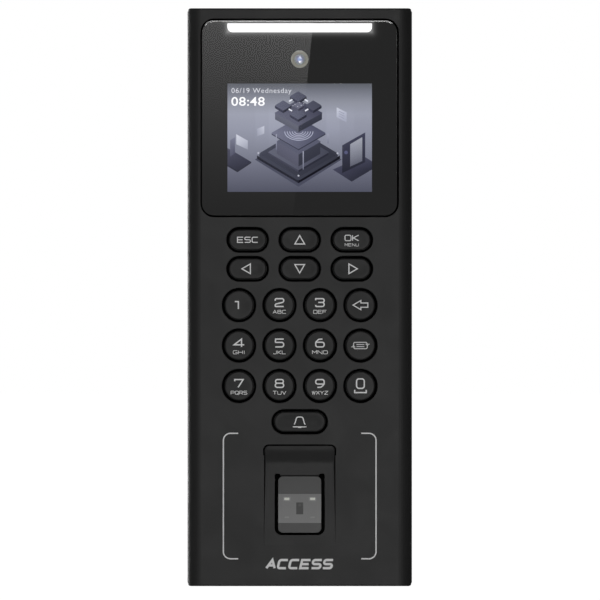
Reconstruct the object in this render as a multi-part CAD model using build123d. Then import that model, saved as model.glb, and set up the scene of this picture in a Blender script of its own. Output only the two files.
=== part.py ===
"""Wall-mounted access terminal: fingerprint reader, keypad, camera and colour display.

Millimetres. The origin is the centre of the wall plate's face against the wall. +Z is up, +X is to
the right of a person facing the terminal, and the front faces -Y. A "depth" below is a distance in
front of the wall, so depth d lies at y = -d.
"""
from build123d import *
import math
import os

# ---------------------------------------------------------------- body
BODY_W = 76.4
BODY_H = 195.4
BODY_D = 27.75  # depth of the front face
SIDE_EDGE_R = 5.0  # rounding of the long front edges
END_BREAK = (1.5, 0.3)  # steep chamfer of the top and bottom front edges: depth, height
CORNER_R = 1.0  # outline corners in the front view
WALL = 2.2
FRONT_WALL = 2.5
PARTING = 9.0  # depth of the joint between front shell and rear cover
RIM_CLEAR = 0.3  # the cover's rim stops short of the wall
PARTING_BREAK = 0.3
INNER_FRONT = BODY_D - FRONT_WALL

# ---------------------------------------------------------------- display window
GLASS_W = 65.5
GLASS_H = 65.6
GLASS_Z = 60.6
GLASS_R = 3.9
GLASS_T = 2.0
GLASS_SUNK = 0.1
GLASS_GAP = 0.8
GLASS_BEVEL = 0.5
GLASS_BACK = BODY_D - GLASS_SUNK - GLASS_T
LEDGE_W = 1.25  # overlap of ledge and glass
LEDGE_FRONT = GLASS_BACK - 0.25
LEDGE_BACK = LEDGE_FRONT - 1.5
LEDGE_Z0 = 25.8
LCD_W = 48.96  # picture area, 2.4 inch at 4:3
LCD_H = 36.72
LCD_Z = 54.05
LCD_BORDER = 2.0
LCD_T = 1.4
LCD_FRAME_WALL = 0.8
LCD_FRAME_D = 4.0
LIGHT_W = 48.9
LIGHT_H = 2.9
LIGHT_Z = 91.27
LIGHT_T = 3.0
CAMERA_Z = 80.65
CAMERA_RING_R = 2.95
MIC_SLOT_W = 12.6
MIC_Z = GLASS_Z - GLASS_H / 2 - GLASS_GAP / 2

# ---------------------------------------------------------------- keys
KEY_GAP = 1.05
KEY_PROUD = 0.25
KEY_EDGE_R = 0.6
FLANGE_T = 0.9
FLANGE_CLEAR = 0.1
STEM_R = 1.5
PILL = (14.3, 8.6)  # openings in the front wall
ROUND = (11.5, 11.5)
BELL = (19.0, 8.4)
OPENING_BREAK = 0.15  # chamfer round the key openings
PILL_PITCH = 17.6
ROUND_PITCH = 13.68
PILL_ROWS = ((19.4, ("esc", "up", "ok")), (9.6, ("left", "down", "right")))
ROUND_ROWS = (
    (-2.67, ("1", "2", "3", "back")),
    (-16.33, ("4", "5", "6", "card")),
    (-30.0, ("7", "8", "9", "0")),
)
BELL_Z = -42.1

# ---------------------------------------------------------------- keypad stack, depths
KEY_BOARD_D = (19.0, 20.6)
KEY_BOARD_W = 58.0
KEY_BOARD_Z = (-46.6, 25.2)
MAT_FOOT_D = KEY_BOARD_D[1]
MAT_D = (21.3, 21.9)
MAT_PAD_TOP = 22.5
MAT_PAD_R = 2.6
MAT_W = 56.8
STEM_BACK = MAT_PAD_TOP + 0.1
CONTACT_R = 2.5
CONTACT_T = 0.1
KEY_BOARD_POSTS = ((27.3, -9.5), (28.0, 14.5))  # mirrored in x

# ---------------------------------------------------------------- fingerprint reader
RECESS_W = 24.2
RECESS_TOP = -49.9
RECESS_FLUSH = -83.9  # where the sloping floor meets the front face
RECESS_DEPTH = 3.4
RECESS_STEP = 0.9  # short wall at the recess's top
SCOOP_FOOT = -57.4  # where the scoop under that wall meets the sloping floor
RECESS_DRAFT = 12  # degrees
RECESS_R = 2.7
RECESS_WALL = 2.4
RECESS_MARGIN = 2.0
SENSOR_Z = -70.2
SENSOR_OPENING = (17.0, 20.25)
SENSOR_OPENING_SHIFT = -0.175  # its middle, from the glass's middle
SENSOR_OPENING_R = 2.4
EAR = (1.9, 2.0, 0.6)  # notch at each upper corner of the opening: width, height, radius
EAR_TOP = 10.45
SENSOR_GLASS = (14.7, 19.1)
SENSOR_GLASS_R = 1.7
SENSOR_TILT = math.atan(RECESS_DEPTH / (RECESS_TOP - RECESS_FLUSH))
BEZEL_SUNK = 1.2
HOUSING = (18.8, 22.4)
HOUSING_DEEP = 15.0

# ---------------------------------------------------------------- boards and screws
MAIN_BOARD_D = (16.8, 18.4)
MAIN_BOARD_W = 67.0
MAIN_BOARD_Z = (-47.0, 86.0)
BOARD_POST_X = 31.5
BOARD_POST_Z = (-44.0, 6.0, 80.0)
CASE_SCREW_X = 31.5
CASE_SCREW_Z = 91.0
THREAD_CLEAR = 0.02
ANTENNA_D = (20.2, 21.2)
ANTENNA_W = 54.0
ANTENNA_Z = (-90.5, -47.6)
ANTENNA_POSTS = (-86.5, -53.0)

# ---------------------------------------------------------------- rear cover and wiring bay
COVER_WALL_D = (3.0, 5.0)
BAY_W = 50.0
BAY_Z = (-45.0, -15.0)
BAY_FLOOR = 14.8
BAY_WALL = 1.5
SOCKET_X = -9.0
SOCKET = (16.0, 11.6, 20.0)  # width, depth, height
SOCKET_MOUTH = (11.9, 8.2, 13.0)
SOCKET_MOUTH_D = 10.3
HEADER_X = 14.0
HEADER = (20.4, 9.3, 10.0)
HEADER_MOUTH = (18.8, 6.2, 8.0)
HEADER_MOUTH_D = 11.6
HEADER_PINS = 10
POCKET_W = 15.0  # pocket round the plate's locking tab
POCKET_Z = (-93.3, -84.5)
POCKET_FLOOR = 8.2
POCKET_WALL = 1.2
LOCK_SCREW_D = 5.2

# ---------------------------------------------------------------- wall plate
PLATE_W = 68.0
PLATE_H = 186.0
PLATE_T = 1.5
PLATE_R = 3.0
HOOK_W = 8.0
HOOK_X = 20.0
HOOK_Z = (62.0, -62.0)
HOOK_LIP = 4.5
BOX_Z = -30.0  # centre of the wall box behind the plate
BOX_PITCH_ROUND = 60.0
BOX_PITCH_GANG = 83.3
PLATE_CORNER = (24.0, 80.0)
PLATE_HOLE_R = 2.1
SLOT_RUN = 3.0  # length of a slot's straight part

# ---------------------------------------------------------------- tamper switch
TAMPER_X = 26.0
TAMPER_Z = 14.0
TAMPER_TIP = PLATE_T
TAMPER_FLANGE = (6.0, 6.8)
TAMPER_NOSE_END = 10.4
TOWER_TOP = 10.6
SPRING_WIRE = 0.4
SPRING_R = 2.3
SPRING_TURNS = 5

# ---------------------------------------------------------------- loudspeaker
SPEAKER = (34.0, 9.5, 5.6)  # width, depth, height
SPEAKER_D = 14.75
SPEAKER_SLOTS = 7
SPEAKER_SLOT_PITCH = 3.4


# ================================================================ helpers
def slab(sketch, back, front):
    """Extrudes a front-view sketch from one depth to another."""
    return extrude(Plane.XZ.offset(back) * sketch, amount=front - back)


def block(x0, x1, d0, d1, z0, z1):
    """Box between two x values, two depths and two heights."""
    sketch = Pos((x0 + x1) / 2, (z0 + z1) / 2) * Rectangle(x1 - x0, z1 - z0)
    return slab(sketch, d0, d1)


def peg(x, z, radius, back, front):
    """Round peg along the depth."""
    return slab(Pos(x, z) * Circle(radius), back, front)


def mirrored(points):
    """Each point on the right with its twin on the left."""
    return [(side * x, z) for x, z in points for side in (-1, 1)]


def outline(inset=0.0):
    """Front-view outline of the body, pulled in by an inset."""
    radius = max(CORNER_R - inset, 0.4)
    return RectangleRounded(BODY_W - 2 * inset, BODY_H - 2 * inset, radius)


def body_form(inset, back, front):
    """The body's form between two depths: rounded long edges, crisp broken ends."""
    middle = -(back + front) / 2
    plan = Pos(0, middle) * Rectangle(BODY_W - 2 * inset, front - back)
    side_r = SIDE_EDGE_R - inset
    plan = fillet(plan.vertices().group_by(Axis.Y)[0], side_r)
    half = BODY_H / 2 - inset
    deep, rise = END_BREAK
    shoulder = deep - front
    edge = [(-back, half), (shoulder, half), (-front, half - rise)]
    side = Polygon(*edge, *[(y, -z) for y, z in reversed(edge)], align=None)
    solid = extrude(plan, amount=BODY_H, both=True)
    solid &= extrude(Plane.YZ * side, amount=BODY_W, both=True)
    return solid & slab(outline(inset), back, front)


def key_outline(opening, grow):
    """A key's front view: its opening's shape, grown or shrunk all round."""
    width = opening[0] + 2 * grow
    height = opening[1] + 2 * grow
    if width == height:
        return Circle(width / 2)
    return SlotOverall(width, height)


def key_places():
    """Every key as (name, opening, x, z)."""
    places = []
    for z, names in PILL_ROWS:
        for column, name in enumerate(names):
            places.append((name, PILL, (column - 1) * PILL_PITCH, z))
    for z, names in ROUND_ROWS:
        for column, name in enumerate(names):
            places.append((name, ROUND, (column - 1.5) * ROUND_PITCH, z))
    places.append(("bell", BELL, 0.0, BELL_Z))
    return places


def floor_depth(z):
    """Depth of the fingerprint recess's sloping floor at a height."""
    return BODY_D - RECESS_DEPTH * (z - RECESS_FLUSH) / (RECESS_TOP - RECESS_FLUSH)


SENSOR_PLANE = Plane(
    origin=(0, -floor_depth(SENSOR_Z), SENSOR_Z),
    x_dir=(1, 0, 0),
    z_dir=(0, -math.cos(SENSOR_TILT), math.sin(SENSOR_TILT)),
)


def sensor_slab(sketch, low, high):
    """Extrudes a sketch along the sensor's own normal; 0 is the recess floor, inwards is negative."""
    return extrude(SENSOR_PLANE.offset(low) * sketch, amount=high - low)


def window_outline(inset=0.0):
    """Glass outline, pulled in by an inset (negative grows it)."""
    width = GLASS_W - 2 * inset
    height = GLASS_H - 2 * inset
    return Pos(0, GLASS_Z) * RectangleRounded(width, height, max(GLASS_R - inset, 1.0))


def light_outline(grow=0.0):
    """Light bar's front view: square above, rounded below."""
    bar = Rectangle(LIGHT_W + 2 * grow, LIGHT_H + 2 * grow)
    bar = fillet(bar.vertices().group_by(Axis.Y)[0], 1.2)
    return Pos(0, LIGHT_Z) * bar


def union(*shapes):
    """Fuses shapes into one."""
    whole = shapes[0]
    for shape in shapes[1:]:
        whole += shape
    return whole


# ================================================================ enclosure
def recess_floor_side():
    """Side view of what is cut away: a step at the top, a scoop, then the slope up to the front."""
    step = (RECESS_STEP - BODY_D, RECESS_TOP - 0.4)
    foot = (-floor_depth(SCOOP_FOOT), SCOOP_FOOT)
    low = RECESS_FLUSH - 10
    far = -BODY_D - 4
    high = RECESS_TOP + 3
    down = (-math.sin(SENSOR_TILT), -math.cos(SENSOR_TILT))
    scoop = Spline(step, foot, tangents=[(0, -1), down])
    rest = Polyline(foot, (-floor_depth(low), low), (far, low), (far, high), (step[0], high), step)
    return make_face(scoop + rest)


def recess_cut():
    """The finger recess, its walls drawn in towards the floor."""
    start = 0.5  # the cutter starts this far in front of the face
    grow = 2 * start * math.tan(math.radians(RECESS_DRAFT))
    bottom = RECESS_FLUSH - 6
    height = RECESS_TOP - bottom
    face = RectangleRounded(RECESS_W + grow, height + grow, RECESS_R)
    inwards = Plane(origin=(0, -BODY_D - start, bottom + height / 2), x_dir=(1, 0, 0), z_dir=(0, 1, 0))
    walls = extrude(inwards * face, amount=8, taper=RECESS_DRAFT)
    return walls & extrude(Plane.YZ * recess_floor_side(), amount=RECESS_W, both=True)


def recess_backing():
    """Material behind the recess, of even thickness under its sloping floor."""
    margin = RECESS_MARGIN
    low = RECESS_FLUSH - margin
    high = RECESS_TOP + margin
    behind_floor = sensor_slab(Rectangle(60, 80), -RECESS_WALL, 14)
    half = RECESS_W / 2 + margin
    return block(-half, half, 16, INNER_FRONT + 0.1, low, high) & behind_floor


def sensor_opening():
    """Opening in the recess floor, with a locating ear above each upper corner."""
    width, height = SENSOR_OPENING
    face = Pos(0, SENSOR_OPENING_SHIFT) * RectangleRounded(width, height, SENSOR_OPENING_R)
    for side in (-1, 1):
        face += Pos(side * (width - EAR[0]) / 2, EAR_TOP - EAR[1] / 2) * RectangleRounded(*EAR)
    return sensor_slab(face, -RECESS_WALL - 3, 1)


def front_posts():
    """Screw bosses and board posts behind the front wall."""
    posts = []
    for x, z in mirrored([(CASE_SCREW_X, -CASE_SCREW_Z), (CASE_SCREW_X, CASE_SCREW_Z)]):
        posts.append(peg(x, z, 3.3, PARTING, INNER_FRONT))
    for x, z in mirrored(KEY_BOARD_POSTS):
        posts.append(peg(x, z, 2.0, KEY_BOARD_D[1], INNER_FRONT))
    for x, z in mirrored([(BOARD_POST_X, z) for z in BOARD_POST_Z]):
        posts.append(peg(x, z, 2.2, MAIN_BOARD_D[1], INNER_FRONT))
    for x, z in mirrored([(24.0, z) for z in ANTENNA_POSTS]):
        posts.append(peg(x, z, 2.0, ANTENNA_D[1], INNER_FRONT))
    return posts


def front_pilots():
    """Threaded holes in the bosses and posts."""
    pilots = []
    for x, z in mirrored([(CASE_SCREW_X, -CASE_SCREW_Z), (CASE_SCREW_X, CASE_SCREW_Z)]):
        pilots.append(peg(x, z, 1.5 + THREAD_CLEAR, PARTING - 1, 18.5))
    for x, z in mirrored(KEY_BOARD_POSTS):
        pilots.append(peg(x, z, 1.0 + THREAD_CLEAR, KEY_BOARD_D[1] - 1, 24.2))
    for x, z in mirrored([(BOARD_POST_X, z) for z in BOARD_POST_Z]):
        pilots.append(peg(x, z, 1.25 + THREAD_CLEAR, MAIN_BOARD_D[1] - 1, 23.0))
    return pilots


def front_shell():
    """Front half of the housing with all its openings."""
    shell = body_form(0, PARTING, BODY_D)
    shell -= slab(outline(WALL), PARTING - 1, INNER_FRONT) & body_form(WALL, 0, INNER_FRONT)
    inner = BODY_W / 2 - WALL
    ledge = block(-inner, inner, LEDGE_BACK, INNER_FRONT + 0.1, LEDGE_Z0, BODY_H / 2 - WALL)
    shell = union(shell, ledge, recess_backing(), *front_posts())
    shell -= slab(window_outline(-GLASS_GAP), LEDGE_FRONT, BODY_D + 1)
    shell -= slab(window_outline(LEDGE_W), LEDGE_BACK - 1, LEDGE_FRONT + 1)
    shell -= slab(light_outline(0.2), LEDGE_BACK - 1, LEDGE_FRONT + 1)
    for _, opening, x, z in key_places():
        shell -= slab(Pos(x, z) * key_outline(opening, 0), INNER_FRONT - 1, BODY_D + 1)
        flare = Plane(origin=(0, -BODY_D, 0), x_dir=(1, 0, 0), z_dir=(0, 1, 0)) * Pos(x, -z)
        shell -= extrude(flare * key_outline(opening, OPENING_BREAK), amount=2 * OPENING_BREAK, taper=45)
    shell -= recess_cut()
    shell -= sensor_opening()
    shell -= slab(Pos(0, MIC_Z) * SlotOverall(MIC_SLOT_W, 1.0), LEDGE_BACK - 1, LEDGE_FRONT + 1)
    for index in range(SPEAKER_SLOTS):
        x = (index - (SPEAKER_SLOTS - 1) / 2) * SPEAKER_SLOT_PITCH
        slot = Plane.XY * Pos(x, -SPEAKER_D) * Rot(0, 0, 90) * SlotOverall(7.0, 1.4)
        shell -= extrude(Pos(0, 0, -BODY_H / 2 - 1) * slot, amount=WALL + 2)
    shell -= slab(outline(0.6) - outline(1.6), PARTING - 1, PARTING + 0.8)
    shell -= slab(outline(-1) - outline(PARTING_BREAK), PARTING - 1, PARTING + PARTING_BREAK)
    for pilot in front_pilots():
        shell -= pilot
    return shell


def rear_cover():
    """Rear half of the housing: rim, wall, wiring bay and locking pocket."""
    cover = slab(outline(), RIM_CLEAR, PARTING)
    cover -= slab(outline(WALL), 0, COVER_WALL_D[0])
    cover -= slab(outline(WALL), COVER_WALL_D[1], PARTING + 1)
    half = BAY_W / 2
    wall = BAY_WALL
    bay_z0, bay_z1 = BAY_Z
    cover += block(-half - wall, half + wall, COVER_WALL_D[0], BAY_FLOOR + wall, bay_z0 - wall, bay_z1 + wall)
    half_pocket = POCKET_W / 2
    wall = POCKET_WALL
    low, high = POCKET_Z
    rim_z = -BODY_H / 2 + WALL
    cover += block(-half_pocket - wall, half_pocket + wall, 2.0, POCKET_FLOOR + wall, rim_z, high + wall)
    for x, z in mirrored([(CASE_SCREW_X, -CASE_SCREW_Z), (CASE_SCREW_X, CASE_SCREW_Z)]):
        cover += peg(x, z, 3.9, COVER_WALL_D[0], PARTING)
        cover -= peg(x, z, 3.0, 2, 6.0)
        cover -= peg(x, z, 1.7, 2, PARTING + 1)
    cover -= block(-half, half, -1, BAY_FLOOR, bay_z0, bay_z1)
    cover -= block(-half_pocket, half_pocket, -1, POCKET_FLOOR, low, high)
    cover -= socket_cuts(bay_z1)
    for x, z in mirrored([(HOOK_X, z) for z in HOOK_Z]):
        reach = HOOK_W / 2 + 0.5
        cover -= block(x - reach, x + reach, 2, 6, z - HOOK_LIP + 1.2, z + PLATE_T)
    cover -= peg(TAMPER_X, TAMPER_Z, 1.7, 2, 6)
    drill = Pos(0, -LOCK_SCREW_D, -BODY_H / 2) * Cylinder(1.7, 12)
    sink = Pos(0, -LOCK_SCREW_D, -BODY_H / 2) * Cylinder(3.1, 3.6)
    cover -= drill + sink
    cover -= slab(outline(-1) - outline(PARTING_BREAK), PARTING - PARTING_BREAK, PARTING + 1)
    return cover


def socket_cuts(top):
    """Cut-outs in the bay's upper wall for the network socket and the wiring header."""
    socket_half = SOCKET[0] / 2 + 0.2
    header_half = HEADER[0] / 2 + 0.2
    header_back = MAIN_BOARD_D[0] - HEADER[1] - 0.2
    deep = BAY_FLOOR + BAY_WALL + 0.1
    ceiling = top + BAY_WALL + 0.1
    network = block(SOCKET_X - socket_half, SOCKET_X + socket_half, COVER_WALL_D[1], deep, top, ceiling)
    wiring = block(HEADER_X - header_half, HEADER_X + header_half, header_back, deep, top, ceiling)
    return network + wiring


def perimeter_gasket():
    """Rubber seal in the groove at the joint of the two housing halves."""
    return slab(outline(0.6) - outline(1.6), PARTING, PARTING + 0.8)


def case_screws():
    """Four screws from the rear that join the housing halves."""
    screws = []
    for x, z in mirrored([(CASE_SCREW_X, -CASE_SCREW_Z), (CASE_SCREW_X, CASE_SCREW_Z)]):
        screws.append(machine_screw(x, z, 2.75, 1.5, 4.2, 6.0, 17.0))
    return screws


def machine_screw(x, z, head_r, shaft_r, head_back, head_front, tip):
    """Screw driven from the rear, with a hexagon socket in its head."""
    screw = peg(x, z, head_r, head_back, head_front) + peg(x, z, shaft_r, head_front, tip)
    return screw - slab(Pos(x, z) * RegularPolygon(shaft_r * 0.8, 6), head_back - 1, head_front - 0.6)


# ================================================================ wall plate
def wall_plate():
    """Steel plate: wiring window, slots for wall boxes, four hooks and the locking tab."""
    face = RectangleRounded(PLATE_W, PLATE_H, PLATE_R)
    window = BAY_Z[1] - BAY_Z[0]
    face -= Pos(0, BOX_Z) * RectangleRounded(BAY_W, window, 0.8)
    for side in (-1, 1):
        face -= Pos(side * BOX_PITCH_ROUND / 2, BOX_Z) * Circle(PLATE_HOLE_R)
        gang_z = BOX_Z + side * BOX_PITCH_GANG / 2
        face -= Pos(0, gang_z) * Rot(0, 0, 90) * SlotCenterToCenter(SLOT_RUN, 2 * PLATE_HOLE_R)
    for x, z in mirrored([(PLATE_CORNER[0], -PLATE_CORNER[1]), PLATE_CORNER]):
        face -= Pos(x, z) * Circle(PLATE_HOLE_R)
    plate = slab(face, 0, PLATE_T)
    lip_back = COVER_WALL_D[1]
    for x, z in mirrored([(HOOK_X, z) for z in HOOK_Z]):
        half = HOOK_W / 2
        plate += block(x - half, x + half, 0, lip_back + PLATE_T, z, z + PLATE_T)
        plate += block(x - half, x + half, lip_back, lip_back + PLATE_T, z, z + HOOK_LIP)
    tab_z = POCKET_Z[1] - 3.5
    tab = block(-5, 5, 0, POCKET_FLOOR - 0.6, tab_z, tab_z + PLATE_T)
    tab -= Pos(0, -LOCK_SCREW_D, tab_z) * Cylinder(1.5 + THREAD_CLEAR, 8)
    return plate + tab


def locking_screw():
    """Screw from below that locks the terminal on its plate."""
    bottom = -BODY_H / 2 + 0.15
    head = Cylinder(2.9, 1.5, align=(Align.CENTER, Align.CENTER, Align.MIN))
    shaft = Cylinder(1.5, 12.0, align=(Align.CENTER, Align.CENTER, Align.MIN))
    star = extrude(RegularPolygon(1.3, 6), amount=0.9)
    return Pos(0, -LOCK_SCREW_D, bottom) * (head + shaft - star)


# ================================================================ display window
def display_glass():
    """Cover glass of the window, with a bevelled front edge."""
    glass = slab(window_outline(), GLASS_BACK, GLASS_BACK + GLASS_T)
    return chamfer(glass.faces().sort_by(Axis.Y)[0].edges(), GLASS_BEVEL)


def glass_adhesive():
    """Adhesive frame between the glass and its ledge."""
    frame = window_outline(0.2) - window_outline(LEDGE_W) - light_outline(0.2)
    return slab(frame, LEDGE_FRONT, GLASS_BACK)


def lcd_panel():
    """Liquid-crystal cell."""
    size = (LCD_W + 2 * LCD_BORDER, LCD_H + 2 * LCD_BORDER)
    return slab(Pos(0, LCD_Z) * Rectangle(*size), LEDGE_FRONT + 0.05 - LCD_T, LEDGE_FRONT + 0.05)


def lcd_frame():
    """Pressed metal tray with the backlight, round the cell."""
    top = LEDGE_FRONT + 0.05
    width = LCD_W + 2 * LCD_BORDER + 0.6
    height = LCD_H + 2 * LCD_BORDER + 0.6
    outer = RectangleRounded(width + 2 * LCD_FRAME_WALL, height + 2 * LCD_FRAME_WALL, 0.8)
    tray = slab(Pos(0, LCD_Z) * outer, top - LCD_FRAME_D, top)
    return tray - slab(Pos(0, LCD_Z) * Rectangle(width, height), top - LCD_T, top + 1)


def light_bar():
    """Light guide of the status light, seen through the glass."""
    return slab(light_outline(), GLASS_BACK - LIGHT_T, GLASS_BACK)


def light_bar_board():
    """Strip board with the status light's diodes."""
    front = GLASS_BACK - LIGHT_T - 0.6
    board = block(-25, 25, front - 1.0, front, LIGHT_Z - 2.3, LIGHT_Z + 2.3)
    for index in range(6):
        x = (index - 2.5) * 8.2
        board += block(x - 0.9, x + 0.9, front, front + 0.6, LIGHT_Z - 0.7, LIGHT_Z + 0.7)
    return board


def camera_barrel():
    """Camera barrel with a stepped, tapering mouth."""
    barrel = peg(0, CAMERA_Z, 4.2, 21.4, 24.0) + peg(0, CAMERA_Z, CAMERA_RING_R + 0.35, 24.0, GLASS_BACK)
    barrel -= peg(0, CAMERA_Z, 1.7, 22.2, GLASS_BACK + 1)
    mouth = Cone(CAMERA_RING_R, 1.7, 1.4)
    return barrel - Pos(0, -GLASS_BACK + 0.7, CAMERA_Z) * Rot(-90, 0, 0) * mouth


def camera_lens():
    """Front lens element: a thick disc with a domed face."""
    disc = peg(0, CAMERA_Z, 1.65, 22.3, 23.6)
    dome = Pos(0, -21.6, CAMERA_Z) * Sphere(2.8)
    return disc & dome


def camera_board():
    """Camera's sensor board."""
    return block(-5, 5, 20.3, 21.3, CAMERA_Z - 4.6, CAMERA_Z + 4.6)


def microphone():
    """Microphone behind its slot under the glass."""
    return peg(0, MIC_Z, 2.0, LEDGE_BACK - 2.2, LEDGE_BACK)


# ================================================================ keypad
def key(opening, x, z):
    """One key: cap with a rounded edge, retaining flange and stem."""
    cap_top = BODY_D + KEY_PROUD
    flange_front = INNER_FRONT - FLANGE_CLEAR
    cap = slab(Pos(x, z) * key_outline(opening, -KEY_GAP), flange_front - FLANGE_T, cap_top)
    cap = fillet(cap.faces().sort_by(Axis.Y)[0].edges(), KEY_EDGE_R)
    spread = 0.6 if opening == ROUND else 0.45
    flange = slab(Pos(x, z) * key_outline(opening, spread), flange_front - FLANGE_T, flange_front)
    return cap + flange + peg(x, z, STEM_R, STEM_BACK, flange_front)


def board_strip(width, heights, depths, holes, hole_r):
    """Rectangular board or mat between two heights, with round holes."""
    z0, z1 = heights
    face = Pos(0, (z0 + z1) / 2) * Rectangle(width, z1 - z0)
    for x, z in holes:
        face -= Pos(x, z) * Circle(hole_r)
    return slab(face, *depths)


def keypad_mat():
    """Silicone mat that returns the keys: sheet, foot round its edge and a pad under each stem."""
    heights = (KEY_BOARD_Z[0] + 0.2, KEY_BOARD_Z[1] - 0.2)
    posts = mirrored(KEY_BOARD_POSTS)
    mat = board_strip(MAT_W, heights, (MAT_FOOT_D, MAT_D[1]), posts, 2.3)
    middle = (heights[0] + heights[1]) / 2
    hollow = Pos(0, middle) * Rectangle(MAT_W - 2.4, heights[1] - heights[0] - 2.4)
    for x, z in posts:
        hollow -= Pos(x, z) * Circle(3.3)
    mat -= slab(hollow, MAT_FOOT_D - 1, MAT_D[0])
    for _, _, x, z in key_places():
        mat += peg(x, z, MAT_PAD_R, MAT_D[0], MAT_PAD_TOP)
    return mat


def contact_pads():
    """Gold contact pads on the keypad board, one under each key."""
    front = KEY_BOARD_D[1]
    return [peg(x, z, CONTACT_R, front, front + CONTACT_T) for _, _, x, z in key_places()]


def keypad_board():
    """Circuit board of the keypad."""
    return board_strip(KEY_BOARD_W, KEY_BOARD_Z, KEY_BOARD_D, mirrored(KEY_BOARD_POSTS), 1.3)


# ================================================================ fingerprint reader
def sensor_bezel():
    """Sunk black ring that holds the sensor glass in the recess floor."""
    width, height = SENSOR_OPENING
    outer = Pos(0, SENSOR_OPENING_SHIFT) * RectangleRounded(width - 0.2, height - 0.2, SENSOR_OPENING_R)
    ring = sensor_slab(outer, -RECESS_WALL, -BEZEL_SUNK)
    ring += sensor_slab(RectangleRounded(*HOUSING, 2.0), -RECESS_WALL - 0.8, -RECESS_WALL)
    inner = RectangleRounded(SENSOR_GLASS[0] + 0.2, SENSOR_GLASS[1] + 0.2, SENSOR_GLASS_R)
    return ring - sensor_slab(inner, -RECESS_WALL - 2, 0)


def sensor_prism():
    """Sensor glass and the prism under it, one block of glass."""
    glass = sensor_slab(RectangleRounded(*SENSOR_GLASS, SENSOR_GLASS_R), -1.8, -0.1)
    half = SENSOR_GLASS[1] / 2 - 0.8
    side = Polyline((-half, -1.8), (half, -1.8), (half, -4.0), (-half, -8.4), close=True)
    wedge = extrude(Plane.YZ * make_face(side), amount=SENSOR_GLASS[0] / 2 - 0.7, both=True)
    return glass + SENSOR_PLANE.location * wedge


def sensor_housing():
    """Dark box behind the recess that holds the prism, light and image sensor."""
    width, height = HOUSING
    top = -RECESS_WALL - 0.8
    box = sensor_slab(RectangleRounded(width, height, 2.0), -HOUSING_DEEP, top)
    box -= sensor_slab(Rectangle(width - 3.4, height - 2.6), -HOUSING_DEEP + 1.0, top + 1)
    return box - sensor_slab(Rectangle(8.4, 8.4), -HOUSING_DEEP - 1, -HOUSING_DEEP + 2)


def sensor_camera():
    """Image sensor module under the prism."""
    base = sensor_slab(Rectangle(8.0, 8.0), -HOUSING_DEEP, -12.0)
    return base + sensor_slab(Circle(2.4), -12.0, -10.0)


def sensor_leds():
    """Four light-emitting diodes on small stands in the housing."""
    spots = [(x, y) for x in (-6.2, 6.2) for y in (-7.6, 7.6)]
    return [sensor_slab(Pos(x, y) * Rectangle(1.9, 1.3), -HOUSING_DEEP + 1.0, -11.0) for x, y in spots]


def sensor_board():
    """Circuit board on the back of the sensor housing."""
    board = sensor_slab(Rectangle(HOUSING[0] - 0.6, HOUSING[1] - 0.4), -HOUSING_DEEP - 1.0, -HOUSING_DEEP)
    return board + sensor_slab(Pos(0, -8.0) * Rectangle(10, 3.2), -HOUSING_DEEP - 2.4, -HOUSING_DEEP - 1.0)


def card_antenna():
    """Aerial board of the card reader, round the sensor housing."""
    middle = (ANTENNA_Z[0] + ANTENNA_Z[1]) / 2
    face = Pos(0, middle) * RectangleRounded(ANTENNA_W, ANTENNA_Z[1] - ANTENNA_Z[0], 2.0)
    face -= Pos(0, SENSOR_Z - 0.7) * RectangleRounded(HOUSING[0] + 2.4, HOUSING[1] + 3.2, 2.0)
    return slab(face, *ANTENNA_D)


# ================================================================ electronics
def main_board():
    """Main circuit board, with clear holes over the keypad board's screws."""
    board = board_strip(MAIN_BOARD_W, MAIN_BOARD_Z, MAIN_BOARD_D, mirrored(KEY_BOARD_POSTS), 2.5)
    for x, z in mirrored([(BOARD_POST_X, z) for z in BOARD_POST_Z]):
        board -= peg(x, z, 1.4, MAIN_BOARD_D[0] - 1, MAIN_BOARD_D[1] + 1)
    back = MAIN_BOARD_D[0]
    for x, z, width, height in ((14, 46, 12, 12), (-24, 30, 8, 10), (4, 72, 10, 6), (-8, 20, 7, 7)):
        board += block(x - width / 2, x + width / 2, back - 1.2, back, z - height / 2, z + height / 2)
    return board


def processor_shield():
    """Screening can over the processor."""
    back = MAIN_BOARD_D[0]
    can = block(-25, 3, back - 2.6, back, 36, 62)
    can -= block(-24.6, 2.6, back - 2.2, back + 1, 36.4, 61.6)
    return can - peg(-11, 49, 1.6, back - 4, back)


def board_part_block(x, z, width, height, tall):
    """Plain component on the rear of the main board."""
    back = MAIN_BOARD_D[0]
    return block(x - width / 2, x + width / 2, back - tall, back, z - height / 2, z + height / 2)


def door_relay():
    """Relay that switches the door lock."""
    case = board_part_block(24, 30, 10.0, 19.0, 10.2)
    return chamfer(case.faces().sort_by(Axis.Y)[-1].edges(), 0.5)


def buzzer():
    """Sounder with its round port."""
    back = MAIN_BOARD_D[0]
    return peg(24, 60, 6.0, back - 6.5, back) - peg(24, 60, 1.1, back - 7.5, back - 2)


def clock_cell():
    """Coin cell of the clock."""
    back = MAIN_BOARD_D[0]
    return peg(-22, 76, 8.0, back - 3.8, back - 0.6) + peg(-22, 76, 6.8, back - 0.6, back)


def network_socket():
    """Network socket; its mouth opens down into the wiring bay."""
    width, depth, height = SOCKET
    low = BAY_Z[1]
    back = MAIN_BOARD_D[0] - depth
    body = block(SOCKET_X - width / 2, SOCKET_X + width / 2, back, MAIN_BOARD_D[0], low, low + height)
    mouth_w, mouth_d, mouth_h = SOCKET_MOUTH
    d0 = SOCKET_MOUTH_D - mouth_d / 2
    body -= block(SOCKET_X - mouth_w / 2, SOCKET_X + mouth_w / 2, d0, d0 + mouth_d, low - 1, low + mouth_h)
    return body - block(SOCKET_X - 3, SOCKET_X + 3, d0 - 0.6, d0 + 1, low - 1, low + 6)


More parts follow.
